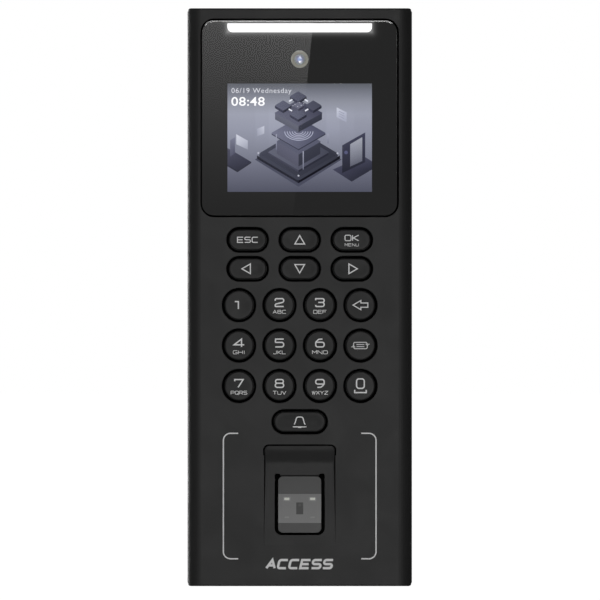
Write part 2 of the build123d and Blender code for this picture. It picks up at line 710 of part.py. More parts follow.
def wiring_header():
    """Shrouded header; its mouth opens down into the wiring bay."""
    width, depth, height = HEADER
    low = BAY_Z[1]
    back = MAIN_BOARD_D[0] - depth
    body = block(HEADER_X - width / 2, HEADER_X + width / 2, back, MAIN_BOARD_D[0], low, low + height)
    mouth_w, mouth_d, mouth_h = HEADER_MOUTH
    d0 = HEADER_MOUTH_D - mouth_d / 2
    x0 = HEADER_X - mouth_w / 2
    return body - block(x0, x0 + mouth_w, d0, d0 + mouth_d, low - 1, low + mouth_h)


def header_pins():
    """Row of contact pins at the back of the header's mouth."""
    pitch = (HEADER_MOUTH[0] - 1.6) / (HEADER_PINS - 1)
    roof = BAY_Z[1] + HEADER_MOUTH[2]
    pins = []
    for index in range(HEADER_PINS):
        x = HEADER_X + (index - (HEADER_PINS - 1) / 2) * pitch
        pins.append(block(x - 0.32, x + 0.32, HEADER_MOUTH_D - 0.32, HEADER_MOUTH_D + 0.32, roof - 3.4, roof))
    return pins


def board_screws():
    """Screws of the keypad board and the main board."""
    back = KEY_BOARD_D[0]
    screws = [machine_screw(x, z, 1.9, 1.0, back - 1.2, back, 23.6) for x, z in mirrored(KEY_BOARD_POSTS)]
    back = MAIN_BOARD_D[0]
    for x, z in mirrored([(BOARD_POST_X, z) for z in BOARD_POST_Z]):
        screws.append(machine_screw(x, z, 2.2, 1.25, back - 1.2, back, 22.4))
    return screws


def loudspeaker():
    """Loudspeaker over the slots in the bottom face."""
    width, depth, height = SPEAKER
    low = -BODY_H / 2 + WALL
    d0 = SPEAKER_D - depth / 2
    case = block(-width / 2, width / 2, d0, d0 + depth, low, low + height)
    chamber = block(-width / 2 + 1, width / 2 - 1, d0 + 1, d0 + depth - 1, low - 1, low + 1.2)
    return case - chamber


# ================================================================ tamper switch
def tamper_plunger():
    """Plunger that bears on the wall plate through the rear cover."""
    rod = peg(TAMPER_X, TAMPER_Z, 1.5, TAMPER_TIP, TAMPER_FLANGE[1])
    flange = peg(TAMPER_X, TAMPER_Z, 3.2, *TAMPER_FLANGE)
    return rod + flange + peg(TAMPER_X, TAMPER_Z, 1.0, TAMPER_FLANGE[1], TAMPER_NOSE_END)


def tamper_switch():
    """Slotted optical switch on the main board: two towers, and a gap for the plunger's nose."""
    back = MAIN_BOARD_D[0]
    body = block(TAMPER_X - 4.5, TAMPER_X + 4.5, TOWER_TOP, back, TAMPER_Z - 3, TAMPER_Z + 3)
    return body - block(TAMPER_X - 1.6, TAMPER_X + 1.6, TOWER_TOP - 1, back - 1.8, TAMPER_Z - 4, TAMPER_Z + 4)


def tamper_spring():
    """Compression spring between the plunger's flange and the switch's towers."""
    low = TAMPER_FLANGE[1] + SPRING_WIRE / 2
    run = TOWER_TOP - SPRING_WIRE / 2 - low
    path = Helix(pitch=run / SPRING_TURNS, height=run, radius=SPRING_R)
    wire = sweep(Plane(path @ 0, z_dir=path % 0) * Circle(SPRING_WIRE / 2), path=path)
    return Pos(TAMPER_X, -low, TAMPER_Z) * Rot(90, 0, 0) * wire


# ================================================================ nodes
def build_nodes():
    """Every sub-part by its node name."""
    nodes = {
        "front_shell": front_shell(),
        "rear_cover": rear_cover(),
        "perimeter_gasket": perimeter_gasket(),
        "case_screws": case_screws(),
        "wall_plate": wall_plate(),
        "locking_screw": locking_screw(),
        "display_glass": display_glass(),
        "glass_adhesive": glass_adhesive(),
        "lcd_panel": lcd_panel(),
        "lcd_frame": lcd_frame(),
        "light_bar": light_bar(),
        "light_bar_board": light_bar_board(),
        "camera_barrel": camera_barrel(),
        "camera_lens": camera_lens(),
        "camera_board": camera_board(),
        "microphone": microphone(),
        "keypad_mat": keypad_mat(),
        "contact_pads": contact_pads(),
        "keypad_board": keypad_board(),
        "sensor_bezel": sensor_bezel(),
        "sensor_prism": sensor_prism(),
        "sensor_housing": sensor_housing(),
        "sensor_camera": sensor_camera(),
        "sensor_leds": sensor_leds(),
        "sensor_board": sensor_board(),
        "card_antenna": card_antenna(),
        "main_board": main_board(),
        "processor_shield": processor_shield(),
        "door_relay": door_relay(),
        "buzzer": buzzer(),
        "clock_cell": clock_cell(),
        "network_socket": network_socket(),
        "wiring_header": wiring_header(),
        "header_pins": header_pins(),
        "board_screws": board_screws(),
        "loudspeaker": loudspeaker(),
        "tamper_plunger": tamper_plunger(),
        "tamper_switch": tamper_switch(),
        "tamper_spring": tamper_spring(),
    }
    for name, opening, x, z in key_places():
        nodes[f"key_{name}"] = key(opening, x, z)
    return nodes


def main():
    """Writes one STEP file per node."""
    os.makedirs("parts", exist_ok=True)
    for name, shape in build_nodes().items():
        if isinstance(shape, list):
            shape = Compound(children=shape)
        export_step(shape, f"parts/{name}.step")
        print(f"{name}: {shape.volume:.1f} mm3")


main()
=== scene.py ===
"""Visual model of a wall-mounted access terminal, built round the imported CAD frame.

Sizes inside the classes are millimetres. A "depth" is a distance in front of the wall, so depth d lies
at y = -d; x runs to the right of a person facing the terminal and z runs up.
"""
import logging
import math
from dataclasses import dataclass, field
from enum import Enum
from typing import Callable, Iterable, Optional, Sequence

import bmesh
import bpy
from mathutils import Matrix, Vector
from mathutils.geometry import tessellate_polygon


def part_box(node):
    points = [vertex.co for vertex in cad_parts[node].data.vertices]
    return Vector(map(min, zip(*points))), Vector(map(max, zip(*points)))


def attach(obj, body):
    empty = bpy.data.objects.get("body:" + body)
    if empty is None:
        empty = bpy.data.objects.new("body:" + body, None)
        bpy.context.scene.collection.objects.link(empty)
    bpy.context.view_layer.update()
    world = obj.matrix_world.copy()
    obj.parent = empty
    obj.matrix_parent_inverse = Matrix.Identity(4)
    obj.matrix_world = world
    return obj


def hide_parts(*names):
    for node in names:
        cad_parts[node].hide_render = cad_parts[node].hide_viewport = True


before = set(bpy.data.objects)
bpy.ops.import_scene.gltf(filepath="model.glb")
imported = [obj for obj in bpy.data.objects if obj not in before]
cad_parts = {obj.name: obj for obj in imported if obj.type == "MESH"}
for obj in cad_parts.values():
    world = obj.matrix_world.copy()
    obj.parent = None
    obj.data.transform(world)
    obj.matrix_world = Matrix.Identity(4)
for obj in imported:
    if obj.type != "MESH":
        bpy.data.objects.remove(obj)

MM = 0.001
ROOT = "terminal"
SHARP_EDGE = 32.0
FLOAT, VECTOR = "NodeSocketFloat", "NodeSocketVector"
log = logging.getLogger("terminal")

Point = tuple[float, float]
Place = tuple[float, float, float]
Colour = tuple[float, float, float]

WHITE: Colour = (1, 1, 1)


# ---------------------------------------------------------------- colours and outlines
def linear(red: float, green: float, blue: float) -> Colour:
    """Turns a display colour, 0 to 255, into a linear one.

    Args:
        red: red level.
        green: green level.
        blue: blue level.

    Returns:
        The colour in linear light, 0 to 1.
    """
    def one(level: float) -> float:
        """Linear value of one level."""
        value = level / 255.0
        return value / 12.92 if value <= 0.04045 else ((value + 0.055) / 1.055) ** 2.4

    return one(red), one(green), one(blue)


def grey(level: float) -> Colour:
    """Linear grey of a display level, 0 to 255."""
    return linear(level, level, level)


def arc(cx: float, cz: float, radius: float, start: float, end: float, steps: int) -> list[Point]:
    """Points on an arc.

    Args:
        cx: centre's x.
        cz: centre's z.
        radius: radius.
        start: first angle in degrees.
        end: last angle in degrees.
        steps: number of spans.

    Returns:
        The points, both ends included.
    """
    points = []
    for index in range(steps + 1):
        angle = math.radians(start + (end - start) * index / steps)
        points.append((cx + radius * math.cos(angle), cz + radius * math.sin(angle)))
    return points


def rounded_rect(cx: float, cz: float, width: float, height: float, radius: float,
                 steps: int = 8) -> list[Point]:
    """Rounded rectangle, anticlockwise from its lower right corner.

    Args:
        cx: centre's x.
        cz: centre's z.
        width: full width.
        height: full height.
        radius: corner radius.
        steps: spans in each corner.

    Returns:
        The outline's points.
    """
    radius = max(min(radius, width / 2 - 1e-4, height / 2 - 1e-4), 1e-3)
    right, up = width / 2 - radius, height / 2 - radius
    points: list[Point] = []
    for (sx, sz), start in zip(((1, -1), (1, 1), (-1, 1), (-1, -1)), (-90, 0, 90, 180)):
        points += arc(cx + sx * right, cz + sz * up, radius, start, start + 90, steps)
    return points


def disc(cx: float, cz: float, radius: float, steps: int = 48) -> list[Point]:
    """Circle as an anticlockwise outline."""
    return arc(cx, cz, radius, 0, 360, steps)[:-1]


def rounded_path(points: Sequence[Point], radius: float, closed: bool = False, steps: int = 5) -> list[Point]:
    """Rounds the corners of a path.

    Args:
        points: the path's corners.
        radius: largest corner radius.
        closed: whether the last point joins the first.
        steps: spans in each corner.

    Returns:
        The path with its corners turned into arcs.
    """
    count = len(points)
    result: list[Point] = []
    for index, here in enumerate(points):
        if not closed and index in (0, count - 1):
            result.append(here)
            continue
        now = Vector(here)
        to_last = Vector(points[index - 1]) - now
        to_next = Vector(points[(index + 1) % count]) - now
        turn = to_last.angle(to_next)
        if radius <= 0 or turn > math.pi - 0.02:
            result.append(here)
            continue
        reach = min(radius / math.tan(turn / 2), to_last.length * 0.48, to_next.length * 0.48)
        start = now + to_last.normalized() * reach
        end = now + to_next.normalized() * reach
        halfway = (to_last.normalized() + to_next.normalized()).normalized()
        middle = now + halfway * (reach / math.cos(turn / 2))
        first, last = start - middle, end - middle
        sweep = first.angle_signed(last) if first.length > 1e-9 else 0.0
        for step in range(steps + 1):
            spot = middle + Matrix.Rotation(-sweep * step / steps, 2) @ first
            result.append((spot.x, spot.y))
    return result


# ---------------------------------------------------------------- meshes
class Extent:
    """Box of a CAD node in millimetres."""

    def __init__(self, node: str) -> None:
        """Reads the box of a node."""
        low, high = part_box(node)
        self.left, self.right = low.x / MM, high.x / MM
        self.foot, self.head = low.z / MM, high.z / MM
        self.x, self.z = (low.x + high.x) / 2 / MM, (low.z + high.z) / 2 / MM
        self.front, self.back = -low.y / MM, -high.y / MM


def linked(name: str, data: bpy.types.ID) -> bpy.types.Object:
    """Makes an object and links it to the scene.

    Args:
        name: the object's name.
        data: its mesh, curve, light or camera.

    Returns:
        The object, at the origin.
    """
    obj = bpy.data.objects.new(name, data)
    bpy.context.scene.collection.objects.link(obj)
    return obj


def shade_smooth(mesh: bpy.types.Mesh, angle: Optional[float] = None) -> None:
    """Shades a mesh smooth, with edges sharp above an angle in degrees if one is given."""
    mesh.polygons.foreach_set("use_smooth", [True] * len(mesh.polygons))
    if angle is not None:
        mesh.set_sharp_from_angle(angle=math.radians(angle))


class Draft:
    """A mesh being drawn in millimetres, with a tint for each face corner."""

    def __init__(self, name: str) -> None:
        """Starts an empty draft."""
        self.name = name
        self.points: list[Place] = []
        self.faces: list[list[int]] = []
        self.tints: list[list[Colour]] = []

    def add(self, points: Sequence[Place], faces: Iterable[Sequence[int]], tint: Colour = WHITE) -> None:
        """Adds points and faces that count from the first of those points."""
        start = len(self.points)
        self.points += [tuple(p) for p in points]
        for face in faces:
            self.faces.append([start + i for i in face])
            self.tints.append([tint] * len(face))

    def sheet(self, outline: Sequence[Point], depth: float, tints: Sequence[Colour],
              holes: Sequence = ()) -> None:
        """Adds a flat face towards the front.

        Args:
            outline: anticlockwise outline.
            depth: its depth.
            tints: one colour, or one for each point.
            holes: outlines left open.
        """
        rings = [list(outline)] + [list(reversed(hole)) for hole in holes]
        flat = [point for ring in rings for point in ring]
        triangles = tessellate_polygon([[Vector((x, z, 0)) for x, z in ring] for ring in rings])
        start = len(self.points)
        self.points += [(x, -depth, z) for x, z in flat]
        for triangle in triangles:
            a, b, c = (Vector(flat[i]) for i in triangle)
            order = triangle if (b - a).cross(c - a) > 0 else tuple(reversed(triangle))
            self.faces.append([start + i for i in order])
            self.tints.append([tints[i] if len(tints) > 1 else tints[0] for i in order])

    def plate(self, outline: Sequence[Point], back: float, front: float, holes: Sequence = ()) -> None:
        """Adds a closed plate between two depths.

        Args:
            outline: anticlockwise outline.
            back: depth of the face nearer the wall.
            front: depth of the front face.
            holes: outlines cut through it.
        """
        first = len(self.faces)
        self.sheet(outline, front, [WHITE], holes)
        self.sheet(outline, back, [WHITE], holes)
        half = (len(self.faces) - first) // 2
        for face in self.faces[first + half:]:
            face.reverse()
        for ring in [list(outline)] + [list(reversed(hole)) for hole in holes]:
            count = len(ring)
            points = [(x, -front, z) for x, z in ring] + [(x, -back, z) for x, z in ring]
            sides = [(i, i + count, (i + 1) % count + count, (i + 1) % count) for i in range(count)]
            self.add(points, sides)

    def loft(self, rings: Sequence[Sequence[Place]], tint: Colour = WHITE) -> None:
        """Joins rings of equal count from the back to the front and closes the two ends.

        Args:
            rings: rings of points, each anticlockwise from the front.
            tint: colour of all its faces.
        """
        count = len(rings[0])
        points = [point for ring in rings for point in ring]
        faces: list[Sequence[int]] = []
        for level in range(len(rings) - 1):
            low, high = level * count, (level + 1) * count
            for i in range(count):
                j = (i + 1) % count
                faces.append((low + i, low + j, high + j, high + i))
        faces.append(tuple(reversed(range(count))))
        faces.append(tuple(range(len(points) - count, len(points))))
        self.add(points, faces, tint)

    def hoop(self, rings: Sequence[Sequence[Place]]) -> None:
        """Joins rings of equal count into a closed hoop.

        Args:
            rings: rings round the hoop's section, in order.
        """
        count, levels = len(rings[0]), len(rings)
        faces = []
        for level in range(levels):
            low, high = level * count, (level + 1) % levels * count
            faces += [(low + i, low + (i + 1) % count, high + (i + 1) % count,
                       high + i) for i in range(count)]
        self.add([point for ring in rings for point in ring], faces)

    def lathe(self, cx: float, cz: float, profile: Sequence[Point], steps: int = 48) -> None:
        """Turns a profile of (radius, depth) pairs, back to front, round an axis along the depth."""
        rings = []
        for radius, depth in profile:
            ring = disc(cx, cz, max(radius, 0.01), steps)
            rings.append([(x, -depth, z) for x, z in ring])
        self.loft(rings)

    def ribbon(self, path: Sequence[Point], width: float, level: Callable[[float, float], float],
               thickness: float, closed: bool = False) -> None:
        """Adds a thin raised line of even width along a path.

        Args:
            path: middle line.
            width: full width.
            level: depth of the surface under a point.
            thickness: height of the line above that surface.
            closed: whether the path is a loop.
        """
        count = len(path)
        left: list[Point] = []
        right: list[Point] = []
        for index, here in enumerate(path):
            now = Vector(here)
            last = Vector(path[index - 1]) if closed or index else None
            following = Vector(path[(index + 1) % count]) if closed or index < count - 1 else None
            before = (now - last).normalized() if last is not None else (following - now).normalized()
            after = (following - now).normalized() if following is not None else before
            along = before + after
            along = along.normalized() if along.length > 1e-6 else before
            across = Vector((-along.y, along.x))
            stretch = 1 / max(abs(across.dot(Vector((-before.y, before.x)))), 0.35)
            reach = across * (width / 2 * stretch)
            left.append(tuple(now + reach))
            right.append(tuple(now - reach))
        sunk = 0.04
        rows = []
        for side, lift in ((right, -sunk), (right, thickness), (left, thickness), (left, -sunk)):
            rows.append([(x, -(level(x, z) + lift), z) for x, z in side])
        points = [point for row in rows for point in row]
        faces: list[Sequence[int]] = []
        spans = count if closed else count - 1
        for i in range(spans):
            j = (i + 1) % count
            for row in range(4):
                low, high = row * count, ((row + 1) % 4) * count
                faces.append((low + i, low + j, high + j, high + i))
        if not closed:
            faces.append((0, count, 2 * count, 3 * count))
            faces.append(tuple(reversed((count - 1, 2 * count - 1, 3 * count - 1, 4 * count - 1))))
        self.add(points, faces)

    def object(self, smooth: Optional[float] = None, recalculate: bool = False) -> bpy.types.Object:
        """Turns the draft into an object in metres.

        Args:
            smooth: angle in degrees below which edges are shaded smooth, or None for flat.
            recalculate: whether its normals are made to point outwards.

        Returns:
            The linked object, at the origin.
        """
        mesh = bpy.data.meshes.new(self.name)
        mesh.from_pydata([tuple(c * MM for c in p) for p in self.points], [], self.faces)
        tint = mesh.color_attributes.new("tint", "FLOAT_COLOR", "CORNER")
        values = [component for face in self.tints for colour in face for component in (*colour, 1.0)]
        tint.data.foreach_set("color", values)
        if recalculate:
            work = bmesh.new()
            work.from_mesh(mesh)
            bmesh.ops.remove_doubles(work, verts=work.verts, dist=1e-7)
            bmesh.ops.recalc_face_normals(work, faces=work.faces)
            work.to_mesh(mesh)
            work.free()
        if smooth is not None:
            shade_smooth(mesh, smooth)
        return linked(self.name, mesh)


def plain_copy(obj: bpy.types.Object, name: str) -> bpy.types.Object:
    """Turns an object with its modifiers into a plain mesh object of another name and removes the first."""
    bpy.context.view_layer.update()
    depsgraph = bpy.context.evaluated_depsgraph_get()
    mesh = bpy.data.meshes.new_from_object(obj.evaluated_get(depsgraph))
    mesh.name = name
    made = linked(name, mesh)
    bpy.data.objects.remove(obj)
    return made


def refined(node: str, name: str) -> bpy.types.Object:
    """Copies a CAD node as one smooth-shaded mesh with its flat faces kept flat.

    Args:
        node: CAD node's name.
        name: name of the copy.

    Returns:
        The copy, at the origin.
    """
    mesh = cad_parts[node].data.copy()
    mesh.name = name
    mesh.materials.clear()
    work = bmesh.new()
    work.from_mesh(mesh)
    bmesh.ops.remove_doubles(work, verts=work.verts, dist=2e-6)
    bmesh.ops.dissolve_degenerate(work, edges=work.edges, dist=1e-7)
    settle(work, mesh, SHARP_EDGE)
    return linked(name, mesh)


def settle(work: bmesh.types.BMesh, mesh: bpy.types.Mesh, sharp: float) -> None:
    """Writes an edited mesh back with settled normals and frees it.

    Args:
        work: the edited mesh.
        mesh: mesh it is written to.
        sharp: angle in degrees above which an edge stays sharp.
    """
    work.faces.index_update()
    work.edges.index_update()
    normals = settled_normals(work, math.radians(sharp))
    work.to_mesh(mesh)
    work.free()
    shade_smooth(mesh)
    mesh.normals_split_custom_set(normals)


def settled_normals(work: bmesh.types.BMesh, sharp: float) -> list[Vector]:
    """Works out corner normals that keep flat faces flat and run smoothly into their roundings.

    Args:
        work: the merged mesh.
        sharp: angle above which an edge stays sharp.

    Returns:
        One normal for each face corner, in face order.
    """
    flat_area = 4e-6
    group = list(range(len(work.faces)))

    def root(index: int) -> int:
        """Finds a face's group."""
        while group[index] != index:
            group[index] = group[group[index]]
            index = group[index]
        return index

    for edge in work.edges:
        if len(edge.link_faces) == 2:
            a, b = edge.link_faces
            if a.normal.angle(b.normal, 1.0) < 0.002:
                group[root(a.index)] = root(b.index)
    area: dict[int, float] = {}
    for face in work.faces:
        key = root(face.index)
        area[key] = area.get(key, 0.0) + face.calc_area()

    def joined(edge: bmesh.types.BMEdge) -> bool:
        """Tells whether the shading runs across an edge."""
        if len(edge.link_faces) != 2:
            return False
        a, b = edge.link_faces
        turn = a.normal.angle(b.normal, 4.0)
        both_flat = area[root(a.index)] > flat_area and area[root(b.index)] > flat_area
        return turn < (0.02 if both_flat else sharp)

    across = {edge.index: joined(edge) for edge in work.edges}
    normals = []
    for face in work.faces:
        for corner in face.loops:
            fan, todo = {face.index: corner}, [corner]
            while todo:
                here = todo.pop()
                for side in (here, here.link_loop_prev):
                    if not across[side.edge.index]:
                        continue
                    for other in side.link_loops:
                        spot = other if other.vert == corner.vert else other.link_loop_next
                        if spot.vert == corner.vert and spot.face.index not in fan:
                            fan[spot.face.index] = spot
                            todo.append(spot)
            largest = max(fan.values(), key=lambda loop: area[root(loop.face.index)])
            if area[root(largest.face.index)] > flat_area:
                normals.append(largest.face.normal.copy())
                continue
            total = Vector()
            for loop in fan.values():
                total += loop.face.normal * (loop.calc_angle() * math.sqrt(loop.face.calc_area()))
            normals.append(total.normalized() if total.length > 0 else face.normal.copy())
    return normals


def install(piece: bpy.types.Object, body: str, slot: str, finish: bpy.types.Material, *nodes: str) -> None:
    """Gives a piece its finish and its body, and hides the CAD nodes it stands for.

    Args:
        piece: the finished piece.
        body: body it rides on.
        slot: not used.
        finish: its material.
        nodes: CAD nodes it replaces.
    """
    piece.data.materials.clear()
    piece.data.materials.append(finish)
    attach(piece, body)
    if nodes:
        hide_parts(*nodes)
    log.info("%s on %s, %d faces", piece.name, body, len(piece.data.polygons))


# ---------------------------------------------------------------- shader building
class Tree:
    """Short way to add and join nodes in a shader or geometry tree."""

    def __init__(self, tree: bpy.types.NodeTree) -> None:
        """Wraps a tree."""
        self.tree = tree

    def add(self, kind: str, **values: object) -> bpy.types.Node:
        """Adds a node and sets its properties and inputs; an input's name has _ for a space.

        Args:
            kind: node type's identifier.
            values: properties, and input values or sockets.

        Returns:
            The node.
        """
        node = self.tree.nodes.new(kind)
        for key, value in values.items():
            if hasattr(node, key):
                setattr(node, key, value)
            else:
                self.set(node, **{key: value})
        return node

    def set(self, node: bpy.types.Node, **values: object) -> None:
        """Sets a node's inputs, each to a value or to another node's socket; a name has _ for a space."""
        for key, value in values.items():
            socket = node.inputs[key.replace("_", " ")]
            if isinstance(value, bpy.types.NodeSocket):
                self.join(value, socket)
            else:
                socket.default_value = value

    def join(self, source: bpy.types.NodeSocket, target: bpy.types.NodeSocket) -> None:
        """Joins two sockets."""
        self.tree.links.new(source, target)

    def maths(self, operation: str, first: object, second: object = 0.0,
              third: object = 0.0) -> bpy.types.NodeSocket:
        """Adds a Math node.

        Args:
            operation: its operation.
            first: socket or number.
            second: socket or number.
            third: socket or number.

        Returns:
            The result's socket.
        """
        node = self.add("ShaderNodeMath", operation=operation)
        for socket, value in zip(node.inputs, (first, second, third)):
            if isinstance(value, bpy.types.NodeSocket):
                self.join(value, socket)
            else:
                socket.default_value = value
        return node.outputs[0]


def new_group(name: str, inputs: Sequence[tuple[str, str, float]],
              outputs: Sequence[tuple[str, str]]) -> tuple:
    """Starts a shader node group with named sockets.

    Args:
        name: the group's name.
        inputs: (name, socket type, default) of each input; a vector's default is ignored.
        outputs: (name, socket type) of each output.

    Returns:
        The group, its Tree, its input node and its output node.
    """
    group = bpy.data.node_groups.new(name, "ShaderNodeTree")
    for label, kind, default in inputs:
        socket = group.interface.new_socket(label, in_out="INPUT", socket_type=kind)
        if kind == "NodeSocketFloat":
            socket.default_value = default
    for label, kind in outputs:
        group.interface.new_socket(label, in_out="OUTPUT", socket_type=kind)
    tree = Tree(group)
    return group, tree, tree.add("NodeGroupInput"), tree.add("NodeGroupOutput")


def moulded_grain_group() -> bpy.types.NodeTree:
    """Fine spark-eroded texture of moulded plastic, with a slight tone change over the part.

    Returns:
        Group with Height, Tone and Gloss outputs.
    """
    sockets = [("Vector", VECTOR, 0), ("Grain Scale", FLOAT, 3000), ("Tone Change", FLOAT, 0.05),
               ("Smudge", FLOAT, 0.05)]
    group, tree, into, out = new_group("moulded_grain", sockets,
                                       [("Height", FLOAT), ("Tone", FLOAT), ("Gloss", FLOAT)])
    fine = tree.add("ShaderNodeTexNoise", Detail=3.0, Roughness=0.62)
    cell = tree.add("ShaderNodeTexVoronoi", feature="F1")
    wide = tree.add("ShaderNodeTexNoise", Scale=38.0, Detail=2.0)
    for node in (fine, cell, wide):
        tree.set(node, Vector=into.outputs["Vector"])
    tree.set(fine, Scale=into.outputs["Grain Scale"])
    tree.set(cell, Scale=tree.maths("MULTIPLY", into.outputs["Grain Scale"], 0.62))
    height = tree.maths("MULTIPLY_ADD", cell.outputs["Distance"], 0.6, fine.outputs["Fac"])
    tree.set(out, Height=height)
    both = tree.maths("ADD", tree.maths("SUBTRACT", wide.outputs["Fac"], 0.5),
                      tree.maths("MULTIPLY", tree.maths("SUBTRACT", fine.outputs["Fac"], 0.5), 0.5))
    tree.set(out, Tone=tree.maths("MULTIPLY_ADD", both, into.outputs["Tone Change"], 1.0))
    patch = tree.add("ShaderNodeTexNoise", Scale=85.0, Detail=5.0, Distortion=0.6,
                     Vector=into.outputs["Vector"])
    tree.set(out, Gloss=tree.maths("MULTIPLY", tree.maths("SUBTRACT", patch.outputs["Fac"], 0.5),
                                   into.outputs["Smudge"]))
    return group


def settled_dust_group() -> bpy.types.NodeTree:
    """Fine dust that lies on faces that look up.

    Returns:
        Group with a Mask output.
    """
    group, tree, into, out = new_group("settled_dust", [("Vector", VECTOR, 0), ("Amount", FLOAT, 0.3)],
                                       [("Mask", FLOAT)])
    shape = tree.add("ShaderNodeNewGeometry")
    split = tree.add("ShaderNodeSeparateXYZ", Vector=shape.outputs["Normal"])
    specks = tree.add("ShaderNodeTexNoise", Scale=900.0, Detail=4.0, Vector=into.outputs["Vector"])
    up = tree.maths("MAXIMUM", tree.maths("MULTIPLY_ADD", split.outputs["Z"], 1.4, -0.4), 0.0)
    tree.set(out, Mask=tree.maths("MULTIPLY", tree.maths("MULTIPLY", up, specks.outputs["Fac"]),
                                  into.outputs["Amount"]))
    return group


def brushed_lines_group() -> bpy.types.NodeTree:
    """Fine parallel lines of rolled or brushed metal.

    Returns:
        Group with Height and Tone outputs.
    """
    sockets = [("Vector", VECTOR, 0), ("Stretch X", FLOAT, 1), ("Stretch Z", FLOAT, 1),
               ("Scale", FLOAT, 1200)]
    group, tree, into, out = new_group("brushed_lines", sockets, [("Height", FLOAT), ("Tone", FLOAT)])
    split = tree.add("ShaderNodeSeparateXYZ", Vector=into.outputs["Vector"])
    merge = tree.add("ShaderNodeCombineXYZ")
    tree.set(merge, X=tree.maths("MULTIPLY", split.outputs["X"], into.outputs["Stretch X"]),
             Y=split.outputs["Y"], Z=tree.maths("MULTIPLY", split.outputs["Z"], into.outputs["Stretch Z"]))
    lines = tree.add("ShaderNodeTexNoise", Detail=4.0, Roughness=0.7, Vector=merge.outputs[0],
                     Scale=into.outputs["Scale"])
    tree.set(out, Height=lines.outputs["Fac"],
             Tone=tree.maths("MULTIPLY_ADD", tree.maths("SUBTRACT", lines.outputs["Fac"], 0.5), 0.35, 1.0))
    return group


def edge_glow_group() -> bpy.types.NodeTree:
    """Painted halo round a lit rectangle, fading with the distance from its edge.

    Returns:
        Group with a Mask output.
    """
    sockets = [("Vector", VECTOR, 0), ("Centre Z", FLOAT, 0), ("Half Width", FLOAT, 0.02),
               ("Half Height", FLOAT, 0.002), ("Reach", FLOAT, 0.001)]
    group, tree, into, out = new_group("edge_glow", sockets, [("Mask", FLOAT)])
    split = tree.add("ShaderNodeSeparateXYZ", Vector=into.outputs["Vector"])
    away_x = tree.maths("SUBTRACT", tree.maths("ABSOLUTE", split.outputs["X"]), into.outputs["Half Width"])
    rise = tree.maths("ABSOLUTE", tree.maths("SUBTRACT", split.outputs["Z"], into.outputs["Centre Z"]))
    away_z = tree.maths("SUBTRACT", rise, into.outputs["Half Height"])
    squares = tree.maths("ADD", tree.maths("POWER", tree.maths("MAXIMUM", away_x, 0.0), 2.0),
                         tree.maths("POWER", tree.maths("MAXIMUM", away_z, 0.0), 2.0))
    fall = tree.maths("DIVIDE", tree.maths("SQRT", squares), into.outputs["Reach"])
    tree.set(out, Mask=tree.maths("EXPONENT", tree.maths("MULTIPLY", fall, -1.0)))
    return group


class Shared:
    """The shader groups that several finishes use, made once."""

    grain: bpy.types.NodeTree
    dust: bpy.types.NodeTree
    lines: bpy.types.NodeTree
    glow: bpy.types.NodeTree

    @classmethod
    def make(cls) -> None:
        """Builds the groups."""
        cls.grain = moulded_grain_group()
        cls.dust = settled_dust_group()
        cls.lines = brushed_lines_group()
        cls.glow = edge_glow_group()


def start_material(name: str, colour: Colour, roughness: float, metallic: float = 0.0) -> tuple:
    """Starts a material with a Principled surface and object coordinates.

    Args:
        name: the material's name.
        colour: base colour in linear light.
        roughness: surface roughness.
        metallic: 1 for bare metal.

    Returns:
        The material, its Tree, the Principled node and the coordinates' socket.
    """
    material = bpy.data.materials.new(name)
    material.use_nodes = True
    tree = Tree(material.node_tree)
    surface = material.node_tree.nodes["Principled BSDF"]
    tree.set(surface, Base_Color=(*colour, 1.0), Roughness=roughness, Metallic=metallic)
    place = tree.add("ShaderNodeTexCoord").outputs["Object"]
    return material, tree, surface, place


def use_group(tree: Tree, group: bpy.types.NodeTree, place: bpy.types.NodeSocket,
              **values: float) -> bpy.types.Node:
    """Places a shared group in a material.

    Args:
        tree: the material's tree.
        group: the group.
        place: coordinates for its Vector input.
        values: its other inputs, with _ for a space.

    Returns:
        The group's node.
    """
    node = tree.tree.nodes.new("ShaderNodeGroup")
    node.node_tree = group
    tree.set(node, Vector=place)
    for key, value in values.items():
        node.inputs[key.replace("_", " ")].default_value = value
    return node


def tinted(tree: Tree, colour: object, tone: bpy.types.NodeSocket) -> bpy.types.NodeSocket:
    """Multiplies a colour by a tone.

    Args:
        tree: the material's tree.
        colour: base colour, or its socket.
        tone: multiplier's socket.

    Returns:
        The colour's socket.
    """
    scale = tree.add("ShaderNodeVectorMath", operation="SCALE")
    if isinstance(colour, bpy.types.NodeSocket):
        tree.join(colour, scale.inputs[0])
    else:
        scale.inputs[0].default_value = colour
    tree.set(scale, Scale=tone)
    return scale.outputs[0]


def face_tint(tree: Tree) -> bpy.types.NodeSocket:
    """Adds the colour that a draft gives to each face."""
    return tree.add("ShaderNodeVertexColor", layer_name="tint").outputs["Color"]


def bumped(tree: Tree, surface: bpy.types.Node, height: bpy.types.NodeSocket, distance: float) -> None:
    """Feeds a height to the surface's normal.

    Args:
        tree: the material's tree.
        surface: Principled node.
        height: height's socket.
        distance: height of a full step in metres.
    """
    bump = tree.add("ShaderNodeBump", Distance=distance, Strength=1.0, Height=height)
    tree.set(surface, Normal=bump.outputs["Normal"])


